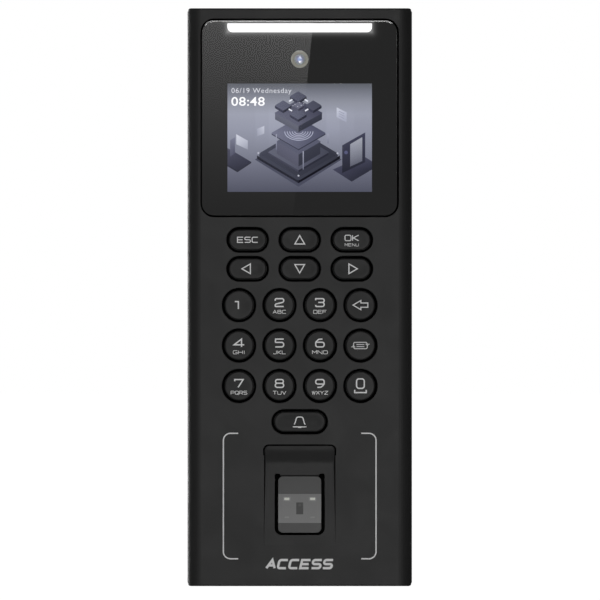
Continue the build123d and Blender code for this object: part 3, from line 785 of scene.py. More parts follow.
# ---------------------------------------------------------------- finishes
@dataclass(frozen=True)
class Moulding:
    """Moulded plastic with a fine eroded texture."""

    name: str
    colour: Colour
    roughness: float = 0.5
    grain_scale: float = 3200.0
    grain_height: float = 6e-6
    tone_change: float = 0.12
    smudge: float = 0.12
    dust: float = 0.02
    specular: float = 0.4

    def make(self) -> bpy.types.Material:
        """Builds the material.

        Returns:
            The material.
        """
        material, tree, surface, place = start_material(self.name, self.colour, self.roughness)
        tree.set(surface, Specular_IOR_Level=self.specular)
        grain = use_group(tree, Shared.grain, place, Grain_Scale=self.grain_scale,
                          Tone_Change=self.tone_change, Smudge=self.smudge)
        dust = use_group(tree, Shared.dust, place, Amount=self.dust)
        colour = tinted(tree, self.colour, grain.outputs["Tone"])
        mix = tree.add("ShaderNodeMix", data_type="RGBA", Factor=dust.outputs["Mask"], A=colour,
                       B=(0.3, 0.29, 0.27, 1.0))
        tree.set(surface, Base_Color=mix.outputs["Result"],
                 Roughness=tree.maths("ADD", grain.outputs["Gloss"], self.roughness))
        bumped(tree, surface, grain.outputs["Height"], self.grain_height)
        return material


class Roll(Enum):
    """Direction of a sheet's rolling lines, as stretches of x and z."""

    UPRIGHT = (1.0, 0.04)
    ACROSS = (0.04, 1.0)
    NONE = (1.0, 1.0)


@dataclass(frozen=True)
class Metal:
    """Bare or plated metal with fine lines."""

    name: str
    colour: Colour
    roughness: float = 0.32
    roll: Roll = Roll.NONE
    scale: float = 1500.0
    line_height: float = 3e-6

    def make(self) -> bpy.types.Material:
        """Builds the material.

        Returns:
            The material.
        """
        material, tree, surface, place = start_material(self.name, self.colour, self.roughness, 1.0)
        lines = use_group(tree, Shared.lines, place, Stretch_X=self.roll.value[0],
                          Stretch_Z=self.roll.value[1], Scale=self.scale)
        tree.set(surface, Base_Color=tinted(tree, self.colour, lines.outputs["Tone"]))
        rough = tree.maths("MULTIPLY_ADD", lines.outputs["Height"], 0.16, self.roughness - 0.08)
        tree.set(surface, Roughness=rough)
        bumped(tree, surface, lines.outputs["Height"], self.line_height)
        return material


@dataclass(frozen=True)
class Print:
    """Screen-printed ink: slightly uneven and matt, with the tint of each face if asked; a glow makes it give
    off its own colour as painted light.
    """

    name: str
    colour: Colour
    roughness: float = 0.6
    from_tint: bool = False
    coat: float = 0.0
    # Painted light: the ink gives off its own colour at this strength.
    glow: float = 0.0
    specular: float = 0.5

    def make(self) -> bpy.types.Material:
        """Builds the material.

        Returns:
            The material.
        """
        material, tree, surface, place = start_material(self.name, self.colour, self.roughness)
        grain = use_group(tree, Shared.grain, place, Grain_Scale=5200.0, Tone_Change=0.1, Smudge=0.08)
        colour = tinted(tree, face_tint(tree) if self.from_tint else self.colour, grain.outputs["Tone"])
        tree.set(surface, Base_Color=colour)
        if self.glow:
            tree.set(surface, Emission_Color=colour)
        tree.set(surface, Emission_Strength=self.glow, Specular_IOR_Level=self.specular,
                 Roughness=tree.maths("ADD", grain.outputs["Gloss"], self.roughness), Coat_Weight=self.coat,
                 Coat_Roughness=0.04)
        bumped(tree, surface, grain.outputs["Height"], 2e-6)
        return material


@dataclass(frozen=True)
class MaskPrint:
    """Dark print behind the window glass: a weak mirror whose grey is given off as painted light, not lit.

    A painted halo of the status light spreads over it.
    """

    name: str
    colour: Colour
    light_z: float
    light_half: Point
    reach: float
    painted_halo: float
    gloss: float = 0.033

    def make(self) -> bpy.types.Material:
        """Builds the material.

        Returns:
            The material.
        """
        gloss = (self.gloss,) * 3
        material, tree, surface, place = start_material(self.name, gloss, 0.0)
        tree.set(surface, Metallic=1.0)
        grain = use_group(tree, Shared.grain, place, Grain_Scale=4000.0, Tone_Change=0.04, Smudge=0.02)
        tree.set(surface, Base_Color=tinted(tree, gloss, grain.outputs["Tone"]))
        glow = use_group(tree, Shared.glow, place, Centre_Z=self.light_z * MM,
                         Half_Width=self.light_half[0] * MM,
                         Half_Height=self.light_half[1] * MM, Reach=self.reach * MM)
        # Painted light: the print gives off its own grey plus a painted halo round the status light.
        both = tree.add("ShaderNodeVectorMath", operation="ADD")
        tree.join(tinted(tree, (self.painted_halo,) * 3, glow.outputs["Mask"]), both.inputs[0])
        tree.join(tinted(tree, self.colour, grain.outputs["Tone"]), both.inputs[1])
        tree.set(surface, Emission_Color=both.outputs[0], Emission_Strength=1.0)
        return material


@dataclass(frozen=True)
class Glow:
    """A surface that gives its own light, from one colour or from each face's tint."""

    name: str
    colour: Colour
    strength: float
    from_tint: bool = False
    speckle: float = 0.03

    def make(self) -> bpy.types.Material:
        """Builds the material.

        Returns:
            The material.
        """
        material, tree, surface, place = start_material(self.name, (0.004, 0.004, 0.004), 0.6)
        tree.set(surface, Specular_IOR_Level=0.0)
        grain = use_group(tree, Shared.grain, place, Grain_Scale=3400.0, Tone_Change=self.speckle,
                          Smudge=0.04)
        colour = tinted(tree, face_tint(tree) if self.from_tint else self.colour, grain.outputs["Tone"])
        tree.set(surface, Emission_Color=colour, Emission_Strength=self.strength,
                 Roughness=tree.maths("ADD", grain.outputs["Gloss"], 0.4))
        return material


@dataclass(frozen=True)
class ClearGlass:
    """Clear glass with the faintest finger marks; its index is below real glass's, so it mirrors little."""

    name: str
    tint: Colour = (1.0, 1.0, 1.0)
    ior: float = 1.2

    def make(self) -> bpy.types.Material:
        """Builds the material.

        Returns:
            The material.
        """
        material, tree, surface, place = start_material(self.name, self.tint, 0.0)
        tree.set(surface, Transmission_Weight=1.0, IOR=self.ior)
        marks = use_group(tree, Shared.grain, place, Grain_Scale=600.0, Tone_Change=0.01, Smudge=0.004)
        tree.set(surface, Base_Color=tinted(tree, self.tint, marks.outputs["Tone"]))
        return material


@dataclass(frozen=True)
class Board:
    """Circuit board with solder resist over fine tracks."""

    name: str
    resist: Colour
    copper: Colour

    def make(self) -> bpy.types.Material:
        """Builds the material.

        Returns:
            The material.
        """
        material, tree, surface, place = start_material(self.name, self.resist, 0.35)
        bricks = tree.add("ShaderNodeTexBrick", Scale=420.0, Mortar_Size=0.035, Vector=place)
        noise = tree.add("ShaderNodeTexNoise", Scale=220.0, Detail=2.0, Vector=place)
        shown = tree.maths("GREATER_THAN", noise.outputs["Fac"], 0.5)
        track = tree.maths("MULTIPLY", bricks.outputs["Fac"], shown)
        mix = tree.add("ShaderNodeMix", data_type="RGBA", A=(*self.resist, 1.0), B=(*self.copper, 1.0),
                       Factor=track)
        tree.set(surface, Base_Color=mix.outputs["Result"])
        bumped(tree, surface, track, 2e-5)
        return material


@dataclass(frozen=True)
class LensCoatingPaintedGlow:
    """Camera glass and its ring: rings of colour round the middle of the lens, given off as painted light
    when a glow is set.
    """

    name: str
    centre_z: float
    radius: float
    stops: Sequence[tuple[float, Colour]]
    # Painted light: the ring colours are given off at this strength.
    glow: float = 0.0

    def make(self) -> bpy.types.Material:
        """Builds the material.

        Returns:
            The material.
        """
        material, tree, surface, place = start_material(self.name, (0.1, 0.1, 0.1), 0.18)
        split = tree.add("ShaderNodeSeparateXYZ", Vector=place)
        rise = tree.maths("SUBTRACT", split.outputs["Z"], self.centre_z * MM)
        away = tree.maths("SQRT", tree.maths("ADD", tree.maths("POWER", split.outputs["X"], 2.0),
                                             tree.maths("POWER", rise, 2.0)))
        ramp = tree.add("ShaderNodeValToRGB", Fac=tree.maths("DIVIDE", away, self.radius * MM))
        elements = ramp.color_ramp.elements
        while len(elements) < len(self.stops):
            elements.new(0.5)
        for element, (position, colour) in zip(elements, self.stops):
            element.position = position
            element.color = (*colour, 1.0)
        tree.set(surface, Base_Color=ramp.outputs["Color"], Coat_Weight=1.0, Coat_Roughness=0.03)
        if self.glow:
            tree.set(surface, Emission_Color=ramp.outputs["Color"], Emission_Strength=self.glow)
        return material


class Finishes:
    """All finishes of the terminal, made once and looked up by name."""

    def __init__(self, light: "LightBar") -> None:
        """Builds every material."""
        Shared.make()
        kinds = [
            Moulding("shell_moulding", grey(42.0), 0.56, 3400.0, 5e-6),
            Moulding("cover_moulding", grey(40.0), 0.62, 2300.0, 9e-6, 0.16, 0.14, 0.05),
            Moulding("key_moulding", grey(41.5), 0.5, 4200.0, 4e-6, 0.1, 0.2, specular=0.27),
            Moulding("black_moulding", grey(14.0), 0.45, 3000.0, 6e-6),
            # deep_black: near-black that the gap and key-opening sheets and the recess line use as painted
            # shade.
            Moulding("deep_black", grey(4.0), 0.9, 2000.0, 4e-6, 0.1, 0.05, 0.0, 0.03),
            Moulding("seal_rubber", grey(26.0), 0.85, 1500.0, 1.4e-5),
            Moulding("mat_silicone", grey(70.0), 0.7, 1800.0, 1e-5),
            Moulding("relay_blue", linear(36, 96, 176), 0.35, 2600.0, 6e-6),
            Moulding("header_ivory", linear(196, 196, 188), 0.42, 2600.0, 6e-6),
            Moulding("pale_diffuser", grey(225.0), 0.4, 3000.0, 5e-6),
            Metal("plate_zinc", (0.56, 0.57, 0.58), 0.36, Roll.UPRIGHT, 1100.0),
            Metal("tray_steel", (0.5, 0.5, 0.51), 0.34, Roll.ACROSS),
            Metal("socket_nickel", (0.62, 0.61, 0.59), 0.26, Roll.UPRIGHT, 1800.0),
            Metal("screw_steel", (0.46, 0.46, 0.47), 0.28),
            Metal("contact_gold", (0.83, 0.6, 0.25), 0.22),
            # Both inks give off some of their own colour: painted light that makes them look brighter.
            Print("legend_ink", grey(205.0), 0.55, glow=0.3),
            Print("bracket_ink", grey(205.0), 0.6, glow=0.28),
            Print("sensor_faces", grey(100.0), 0.3, True, specular=0.19),
            Print("port_colours", grey(100.0), 0.35, True, 0.3),
            # window_mask: its grey and the halo round the status light are painted light.
            MaskPrint("window_mask", grey(37.0), light.centre_z, (light.width / 2, light.height / 2), 0.6,
                      0.2),
            Glow("status_white", (1.0, 1.0, 1.0), 1.6),
            Glow("screen_light", (1.0, 1.0, 1.0), 1.07, True),
            ClearGlass("window_clear"),
            Board("board_green", linear(18, 74, 44), linear(40, 110, 66)),
            Board("board_black", linear(20, 24, 24), linear(44, 50, 48)),
        ]
        self.made = {kind.name: kind.make() for kind in kinds}

    def __getitem__(self, name: str) -> bpy.types.Material:
        """Material of a name."""
        return self.made[name]

    def add(self, kind: object) -> bpy.types.Material:
        """Builds one more finish and keeps it."""
        self.made[kind.name] = kind.make()
        return self.made[kind.name]


# ---------------------------------------------------------------- repeated parts
class Copies:
    """Geometry node trees that place copies of a template part."""

    at_points: bpy.types.NodeTree
    in_row: bpy.types.NodeTree

    @classmethod
    def make(cls) -> None:
        """Builds both trees."""
        cls.at_points = cls._points_tree()
        cls.in_row = cls._row_tree()

    @staticmethod
    def _start(name: str, inputs: Sequence[tuple[str, str]]) -> tuple:
        """Starts a geometry tree.

        Args:
            name: the tree's name.
            inputs: (name, socket type) of each input after the geometry.

        Returns:
            The tree's group, its Tree, its input node and its output node.
        """
        group = bpy.data.node_groups.new(name, "GeometryNodeTree")
        group.interface.new_socket("Geometry", in_out="INPUT", socket_type="NodeSocketGeometry")
        for label, kind in inputs:
            group.interface.new_socket(label, in_out="INPUT", socket_type=kind)
        group.interface.new_socket("Geometry", in_out="OUTPUT", socket_type="NodeSocketGeometry")
        tree = Tree(group)
        return group, tree, tree.add("NodeGroupInput"), tree.add("NodeGroupOutput")

    @staticmethod
    def _end(tree: Tree, into: bpy.types.Node, out: bpy.types.Node, copies: bpy.types.NodeSocket) -> None:
        """Ends a tree in Realize Instances and Set Material."""
        real = tree.add("GeometryNodeRealizeInstances", Geometry=copies)
        dressed = tree.add("GeometryNodeSetMaterial", Geometry=real.outputs["Geometry"],
                           Material=into.outputs["Finish"])
        tree.set(out, Geometry=dressed.outputs["Geometry"])

    @classmethod
    def _points_tree(cls) -> bpy.types.NodeTree:
        """Tree that puts the template at each vertex.

        Returns:
            The tree.
        """
        inputs = [("Template", "NodeSocketObject"), ("Finish", "NodeSocketMaterial")]
        group, tree, into, out = cls._start("copies_at_points", inputs)
        points = tree.add("GeometryNodeMeshToPoints", Mesh=into.outputs["Geometry"])
        template = tree.add("GeometryNodeObjectInfo", Object=into.outputs["Template"])
        copies = tree.add("GeometryNodeInstanceOnPoints", Points=points.outputs["Points"],
                          Instance=template.outputs["Geometry"])
        cls._end(tree, into, out, copies.outputs["Instances"])
        return group

    @classmethod
    def _row_tree(cls) -> bpy.types.NodeTree:
        """Tree that puts the template at even steps along a line.

        Returns:
            The tree.
        """
        inputs = [("Template", "NodeSocketObject"), ("Count", "NodeSocketInt"), ("Start", "NodeSocketVector"),
                  ("Step", "NodeSocketVector"), ("Finish", "NodeSocketMaterial")]
        group, tree, into, out = cls._start("copies_in_row", inputs)
        line = tree.add("GeometryNodeMeshLine", Count=into.outputs["Count"],
                        Start_Location=into.outputs["Start"], Offset=into.outputs["Step"])
        template = tree.add("GeometryNodeObjectInfo", Object=into.outputs["Template"])
        copies = tree.add("GeometryNodeInstanceOnPoints", Points=line.outputs["Mesh"],
                          Instance=template.outputs["Geometry"])
        cls._end(tree, into, out, copies.outputs["Instances"])
        return group

    @staticmethod
    def _run(name: str, template: bpy.types.Object, finish: bpy.types.Material, tree: bpy.types.NodeTree,
             places: Sequence[Place] = (), **values: object) -> bpy.types.Object:
        """Runs a tree on loose points, keeps the result as a plain mesh and removes the template.

        Args:
            name: the result's name.
            template: object drawn round the origin.
            finish: material of the copies.
            tree: geometry tree.
            places: the points in millimetres.
            values: the tree's other inputs.

        Returns:
            The plain result.
        """
        mesh = bpy.data.meshes.new(name + "_points")
        mesh.from_pydata([tuple(c * MM for c in p) for p in places], [], [])
        base = linked(name + "_points", mesh)
        modifier = base.modifiers.new("copies", "NODES")
        modifier.node_group = tree
        values.update(Template=template, Finish=finish)
        for item in tree.interface.items_tree:
            if item.in_out == "INPUT" and item.name in values:
                modifier[item.identifier] = values[item.name]
        made = plain_copy(base, name)
        shade_smooth(made.data, SHARP_EDGE)
        bpy.data.objects.remove(template)
        return made

    @classmethod
    def place(cls, name: str, template: bpy.types.Object, places: Sequence[Place],
              finish: bpy.types.Material) -> bpy.types.Object:
        """Puts copies of a template at places and removes the template.

        Args:
            name: the piece's name.
            template: object drawn round the origin.
            places: places in millimetres.
            finish: material of the copies.

        Returns:
            The copies as one plain mesh.
        """
        return cls._run(name, template, finish, cls.at_points, places)

    @classmethod
    def row(cls, name: str, template: bpy.types.Object, count: int, start: Place, step: Place,
            finish: bpy.types.Material) -> bpy.types.Object:
        """Puts copies of a template in a row and removes the template.

        Args:
            name: the piece's name.
            template: object drawn round the origin.
            count: how many copies.
            start: first place in millimetres.
            step: step from one copy to the next in millimetres.
            finish: material of the copies.

        Returns:
            The copies as one plain mesh.
        """
        start, step = ([c * MM for c in place] for place in (start, step))
        return cls._run(name, template, finish, cls.in_row, Count=count, Start=start, Step=step)


def wire_template(radius: float, half: float, axis: str) -> bpy.types.Object:
    """Draws a straight six-sided wire, its middle at the origin.

    Args:
        radius: its radius.
        half: half its length.
        axis: axis it runs along, x, y or z.

    Returns:
        The template object.
    """
    def ring(end: float) -> list[Place]:
        """Six points round the wire at one end."""
        made = []
        for angle in (i * math.pi / 3 for i in range(6)):
            u, v = radius * math.cos(angle), radius * math.sin(angle)
            made.append({"x": (end, u, v), "y": (u, end, v), "z": (u, -v, end)}[axis])
        return made

    draft = Draft("wire_template")
    draft.loft([ring(half), ring(-half)] if axis == "y" else [ring(-half), ring(half)])
    return draft.object(60.0, recalculate=True)


# ---------------------------------------------------------------- lettering
@dataclass
class Lettering:
    """Stroked letters and digits of a wide, squarish hand; each glyph fits a unit square."""

    rounding: float = 0.26
    glyphs: dict[str, str] = field(default_factory=lambda: {
        "0": "o0,0 1,0 1,1 0,1", "1": "-0.2,0.95 0.62,0.95 0.62,0",
        "2": "~0,0.72 0,1 1,1 1,0.55 0,0.3 0,0;-0,0 1,0",
        "3": "~0.03,1 1,1 1,0.52 0.3,0.52;~0.3,0.52 1,0.52 1,0 0,0 0,0.2;-0,0.8 0,1 0.1,1",
        "4": "-0.8,0 0.8,1 -0.08,0.27 1.12,0.27",
        "5": "-1,1 0.05,1 0,0.58;~0,0.58 1,0.58 1,0 0,0", "6": "~0.8,1 0.35,0.98 0,0.6 0,0 1,0 1,0.6 0,0.6",
        "7": "-0,0.78 0,1 1,1 0.4,0", "8": "o0.04,0.53 0.96,0.53 0.96,1 0.04,1;o0,0 1,0 1,0.53 0,0.53",
        "9": "~0.2,0 0.65,0.02 1,0.4 1,1 0,1 0,0.42 1,0.42", "A": "-0,0 0.5,1 1,0;-0.22,0.34 0.78,0.34",
        "B": "o0,0 1,0 1,0.53 0,0.53;o0,0.53 0.92,0.53 0.92,1 0,1", "C": "~1,1 0,1 0,0 1,0",
        "D": "~0,0 0,1;~0,1 1,1 1,0 0,0",
        "E": "-1,1 0,1 0,0 1,0;-0,0.5 0.9,0.5", "F": "-1,1 0,1 0,0;-0,0.5 0.85,0.5",
        "G": "~1,1 0,1 0,0 1,0 1,0.45;-1,0.45 0.55,0.45",
        "H": "-0,0 0,1;-1,0 1,1;-0,0.5 1,0.5", "I": "-0.5,0 0.5,1", "J": "~0.9,1 0.9,0 0.05,0 0.05,0.25",
        "K": "-0,0 0,1;-1,1 0.1,0.5 1,0", "L": "-0,1 0,0 1,0", "M": "-0,0 0,1 0.5,0.4 1,1 1,0",
        "N": "-0,0 0,1 1,0 1,1",
        "O": "o0,0 1,0 1,1 0,1", "P": "-0,0 0,1;~0,1 1,1 1,0.42 0,0.42",
        "Q": "o0,0 1,0 1,1 0,1;-0.55,0.3 1,-0.12",
        "R": "-0,0 0,1;~0,1 1,1 1,0.42 0,0.42;-0.55,0.42 1,0", "S": "~1,1 0,1 0,0.5 1,0.5 1,0 0,0",
        "T": "-0,1 1,1;-0.5,1 0.5,0",
        "U": "~0,1 0,0 1,0 1,1", "V": "-0,1 0.5,0 1,1", "W": "-0,1 0.25,0 0.5,0.9 0.75,0 1,1",
        "X": "-0,0 1,1;-0,1 1,0",
        "Y": "-0,1 0.5,0.5 1,1;-0.5,0.5 0.5,0", "Z": "-0,1 1,1 0,0 1,0",
    })

    def strokes(self, glyph: str, left: float, low: float, width: float,
                height: float) -> list[tuple[list[Point], bool]]:
        """Places one glyph.

        Args:
            glyph: the character.
            left: x of its left side.
            low: z of its foot.
            width: its width.
            height: its height.

        Returns:
            Its strokes as (path, closed).
        """
        made = []
        for text in self.glyphs[glyph].split(";"):
            closed = text[0] == "o"
            corners = [tuple(float(value) for value in pair.split(",")) for pair in text[1:].split()]
            placed = [(left + x * width, low + z * height) for x, z in corners]
            radius = 0.0 if text[0] == "-" else self.rounding * height
            made.append((rounded_path(placed, radius, closed), closed))
        return made

    def line(self, text: str, centre: Point, height: float, span: float,
             gap: float = 0.28) -> list[tuple[list[Point], bool]]:
        """Places a line of letters of even width.

        Args:
            text: the letters.
            centre: middle of the line.
            height: letter height between stroke middles.
            span: width of the whole line between stroke middles.
            gap: space between letters as a share of a letter's width.

        Returns:
            The strokes as (path, closed).
        """
        shares = [0.25 if letter == "I" else 1.0 for letter in text]
        unit = span / (sum(shares) + gap * (len(text) - 1))
        left = centre[0] - span / 2
        made = []
        for letter, share in zip(text, shares):
            made += self.strokes(letter, left, centre[1] - height / 2, unit * share, height)
            left += unit * (share + gap)
        return made


# ---------------------------------------------------------------- keys
class KeyForm(Enum):
    """Shapes of key: (cap width, cap height)."""

    PILL = (12.65, 6.95)
    ROUND = (9.85, 9.85)
    BELL = (17.35, 6.75)


@dataclass
class Key:
    """One key: its cap with a rounded edge and a shallow dish, its printed legend, and painted shade in its
    opening.
    """

    name: str
    form: KeyForm
    edge: float = 0.5
    land: float = 0.35
    dish: float = 0.2
    well: float = 0.8
    steps: int = 20
    ink: float = 0.015

    def __post_init__(self) -> None:
        """Takes the key's place from its CAD node."""
        box = Extent(self.node)
        self.x, self.z, self.top, self.stem_back = box.x, box.z, box.front, box.back

    @property
    def node(self) -> str:
        """CAD node and body of the key."""
        return f"key_{self.name}"

    def outline(self, inset: float, depth: float) -> list[Place]:
        """One ring of the cap.

        Args:
            inset: distance inside the cap's edge; negative is outside.
            depth: the ring's depth.

        Returns:
            The ring's points.
        """
        width, height = (size - 2 * inset for size in self.form.value)
        flat = rounded_rect(self.x, self.z, width, height, height / 2, self.steps)
        return [(x, -depth, z) for x, z in flat]

    def surface(self, x: float, z: float) -> float:
        """Depth of the dished top at a point."""
        width, height = self.form.value
        run = max(abs(x - self.x) - (width - height) / 2, 0.0)
        away = math.hypot(run, z - self.z)
        inner = height / 2 - self.edge - self.land
        share = min(away / inner, 1.0)
        return self.top - self.dish * (1 - share * share) ** 2

    def cap(self) -> bpy.types.Object:
        """Builds the cap with its flange and stem.

        Returns:
            The cap.
        """
        draft = Draft(f"cap_{self.name}")
        flange_depth, flange_thickness = 3.75, 0.9
        flange_back = self.top - flange_depth
        flange_front = flange_back + flange_thickness
        spread = 1.5 if self.form is KeyForm.ROUND else 1.35
        rings = [self.outline(-spread, flange_back), self.outline(-spread, flange_front - 0.15),
                 self.outline(-spread + 0.15, flange_front)]
        rings += [self.outline(0.12, flange_front), self.outline(0.0, flange_front + 0.4)]
        for index in range(9):
            angle = math.radians(90 * index / 8)
            rings.append(self.outline(self.edge * (1 - math.cos(angle)),
                                      self.top - self.edge * (1 - math.sin(angle))))
        inner = self.form.value[1] / 2 - self.edge - self.land
        for index in range(11):
            share = 1 - index / 10
            inset = self.edge + self.land + inner * (1 - share)
            rings.append(self.outline(min(inset, self.form.value[1] / 2 - 0.02),
                                      self.top - self.dish * (1 - share * share) ** 2))
        draft.loft(rings)
        draft.lathe(self.x, self.z, [(1.5, self.stem_back), (1.5, flange_back + 0.1)], 24)
        return draft.object(28.0, recalculate=True)

    def painted_shade(self) -> bpy.types.Object:
        """Builds painted shade in the opening that the key moves in: a near-black sheet round its wall and
        floor.

        Returns:
            The painted shade.
        """
        front = Extent("front_shell").front
        draft = Draft(f"well_liner_{self.name}")
        wall, head, floor, foot, hem = 0.04, -0.17, -2.35, -2.42, self.well - 0.1
        section = [(0.0, head), (wall, head), (wall, floor), (hem, floor), (hem, foot), (0.0, foot)]
        draft.hoop([self.outline(inset - self.well, front + lift) for inset, lift in section])
        return draft.object(recalculate=True)

    def build(self, finishes: Finishes, legend: "Legend") -> None:
        """Builds and dresses the cap, its legend and the painted shade in its opening."""
        install(self.cap(), self.node, "key_plastic", finishes["key_moulding"], self.node)
        # A near-black sheet round the key's opening: painted shade for the gap.
        install(self.painted_shade(), ROOT, "shell_plastic", finishes["deep_black"])
        draft = Draft(f"legend_{self.name}")
        for index, (path, closed, width) in enumerate(legend.marks):
            moved = [(x + self.x, z + self.z) for x, z in path]
            draft.ribbon(moved, width, self.surface, self.ink + 0.001 * index, closed)
        install(draft.object(), self.node, "key_plastic", finishes["legend_ink"])


@dataclass
class Legend:
    """Marks of one key round its middle, each a path, whether it closes, and its width."""

    marks: list[tuple[list[Point], bool, float]] = field(default_factory=list)

    def add(self, strokes: Iterable[tuple[list[Point], bool]], width: float) -> "Legend":
        """Adds strokes of one width and returns the legend."""
        for path, closed in strokes:
            self.marks.append((finely(path, closed), closed, width))
        return self


def finely(path: Sequence[Point], closed: bool, longest: float = 0.6) -> list[Point]:
    """Divides long spans so that a path can follow a dished top.

    Args:
        path: the path's points.
        closed: whether it is a loop.
        longest: longest span left whole.

    Returns:
        The path with points added.
    """
    made: list[Point] = []
    count = len(path)
    for index in range(count if closed else count - 1):
        a, b = Vector(path[index]), Vector(path[(index + 1) % count])
        pieces = max(1, math.ceil((b - a).length / longest))
        for step in range(pieces):
            spot = a.lerp(b, step / pieces)
            made.append((spot.x, spot.y))
    if not closed:
        made.append(path[-1])
    return made


@dataclass
class Keypad:
    """The keys in their rows, with what is printed on each."""

    digit: Point = (2.85, 2.65)
    digit_stroke: float = 0.44
    digit_rise: float = 0.85
    letter_height: float = 1.1
    letter_drop: float = -2.28
    letter_stroke: float = 0.19
    arrow_stroke: float = 0.37
    letters: dict[str, tuple[str, float]] = field(default_factory=lambda: {
        "2": ("ABC", 4.4), "3": ("DEF", 4.3), "4": ("GHI", 3.9), "5": ("JKL", 4.1), "6": ("MNO", 5.1),
        "7": ("PQRS", 5.4), "8": ("TUV", 4.4), "9": ("WXYZ", 5.3),
    })

    def __post_init__(self) -> None:
        """Makes the lettering."""
        self.hand = Lettering()

    def number(self, digit: str) -> Legend:
        """Legend of a digit key.

        Args:
            digit: the digit.

        Returns:
            The legend.
        """
        width, height = self.digit
        legend = Legend()
        rise = self.digit_rise if digit != "1" else 0.0
        left = -width / 2
        if digit == "0":
            width, height = 2.6, 3.2
            left, rise = -1.3, 0.8
            legend.add([([(-1.95, -1.3), (-1.95, -2.22), (1.95, -2.22), (1.95, -1.3)], False)], 0.45)
        if digit == "1":
            left -= 0.55
        legend.add(self.hand.strokes(digit, left, rise - height / 2, width, height), self.digit_stroke)
        if digit in self.letters:
            text, span = self.letters[digit]
            legend.add(self.hand.line(text, (0.0, self.letter_drop), self.letter_height, span),
                       self.letter_stroke)
        return legend

    def arrow(self, turn: float, shift: float = 0.0, width: float = 3.3, height: float = 2.85) -> Legend:
        """Outlined triangle.

        Args:
            turn: degrees anticlockwise from pointing up.
            shift: distance its middle stands to the right.
            width: its base between stroke middles.
            height: its height between stroke middles.

        Returns:
            The legend.
        """
        corners = [Vector((-width / 2, -height / 2)), Vector((width / 2, -height / 2)),
                   Vector((0, height / 2))]
        spin = Matrix.Rotation(math.radians(turn), 2)
        moved = [spin @ corner + Vector((shift, 0)) for corner in corners]
        return Legend().add([([tuple(corner) for corner in moved], True)], self.arrow_stroke)

    def back_arrow(self) -> Legend:
        """Outlined arrow of the delete key."""
        outline = [(-2.5, 0), (0.15, -1.55), (0.15, -0.72), (2.5, -0.72), (2.5, 0.72), (0.15, 0.72),
                   (0.15, 1.55)]
        return Legend().add([(outline, True)], 0.34)

    def card_swap(self) -> Legend:
        """Card between two arrows, for the input mode key."""
        legend = Legend()
        legend.add([(rounded_path([(2.25, 0.5), (2.1, 1.08), (-2.3, 1.08), (-2.3, -0.45)], 0.5), False)],
                   0.25)
        legend.add([(rounded_path([(-2.25, -0.5), (-2.1, -1.08), (2.3, -1.08), (2.3, 0.45)], 0.5), False)],
                   0.25)
        legend.add([([(1.75, 0.5), (3.0, 0.5), (2.4, 0.0)], True),
                    ([(-1.75, -0.5), (-3.0, -0.5), (-2.4, 0.0)], True)], 0.14)
        rows = [([(-1.3, z), (1.3, z)], False) for z in (0.36, -0.36)]
        return legend.add(rows, 0.24)

    def bell(self) -> Legend:
        """Bell of the doorbell key."""
        side = [(-1.86, -0.95), (-1.52, -0.3), (-1.02, 1.62), (1.02, 1.62), (1.52, -0.3), (1.86, -0.95)]
        legend = Legend().add([(rounded_path(side, 0.75), False)], 0.36)
        legend.add([([(-2.3, -1.7), (2.3, -1.7)], False)], 0.33)
        return legend.add([([(-0.6, -1.92), (0.6, -1.92)], False)], 0.26)

    def legends(self) -> dict[str, tuple[KeyForm, Legend]]:
        """Form and legend of every key by name."""
        hand = self.hand
        okay = Legend().add(hand.line("OK", (0, 0.62), 1.85, 4.6, 0.26), 0.29)
        okay.add(hand.line("MENU", (0, -1.72), 0.9, 4.6, 0.34), 0.14)
        table = {
            "esc": (KeyForm.PILL, Legend().add(hand.line("ESC", (0, 0), 1.75, 6.85, 0.3), 0.32)),
            "up": (KeyForm.PILL, self.arrow(0)),
            "ok": (KeyForm.PILL, okay),
            "left": (KeyForm.PILL, self.arrow(90, -0.5)),
            "down": (KeyForm.PILL, self.arrow(180)),
            "right": (KeyForm.PILL, self.arrow(270, 0.45)),
            "back": (KeyForm.ROUND, self.back_arrow()),
            "card": (KeyForm.ROUND, self.card_swap()),
            "bell": (KeyForm.BELL, self.bell()),
        }
        for digit in "1234567890":
            table[digit] = (KeyForm.ROUND, self.number(digit))
        return table

    def build(self, finishes: Finishes) -> None:
        """Builds and dresses every key."""
        for name, (form, legend) in self.legends().items():
            Key(name, form).build(finishes, legend)


# ---------------------------------------------------------------- display window
@dataclass
class LightBar:
    """Status light at the top of the window."""

    width: float = 48.9
    height: float = 2.9
    foot_radius: float = 1.7

    def __post_init__(self) -> None:
        """Takes the light's place from its CAD node."""
        box = Extent("light_bar")
        self.centre_z, self.front, self.back = box.z, box.front, box.back

    def outline(self) -> list[Point]:
        """Outline with square upper and rounded lower corners."""
        half_w, half_h, r = self.width / 2, self.height / 2, self.foot_radius
        z = self.centre_z
        points = arc(half_w - r, z - half_h + r, r, -90, 0, 8) + [(half_w, z + half_h), (-half_w, z + half_h)]
        return points + arc(-half_w + r, z - half_h + r, r, 180, 270, 8)

    def build(self, finishes: Finishes) -> None:
        """Builds and dresses the light guide."""
        draft = Draft("status_light_guide")
        draft.plate(self.outline(), self.back, self.front)
        install(draft.object(), ROOT, "diffuser_plastic", finishes["status_white"], "light_bar")


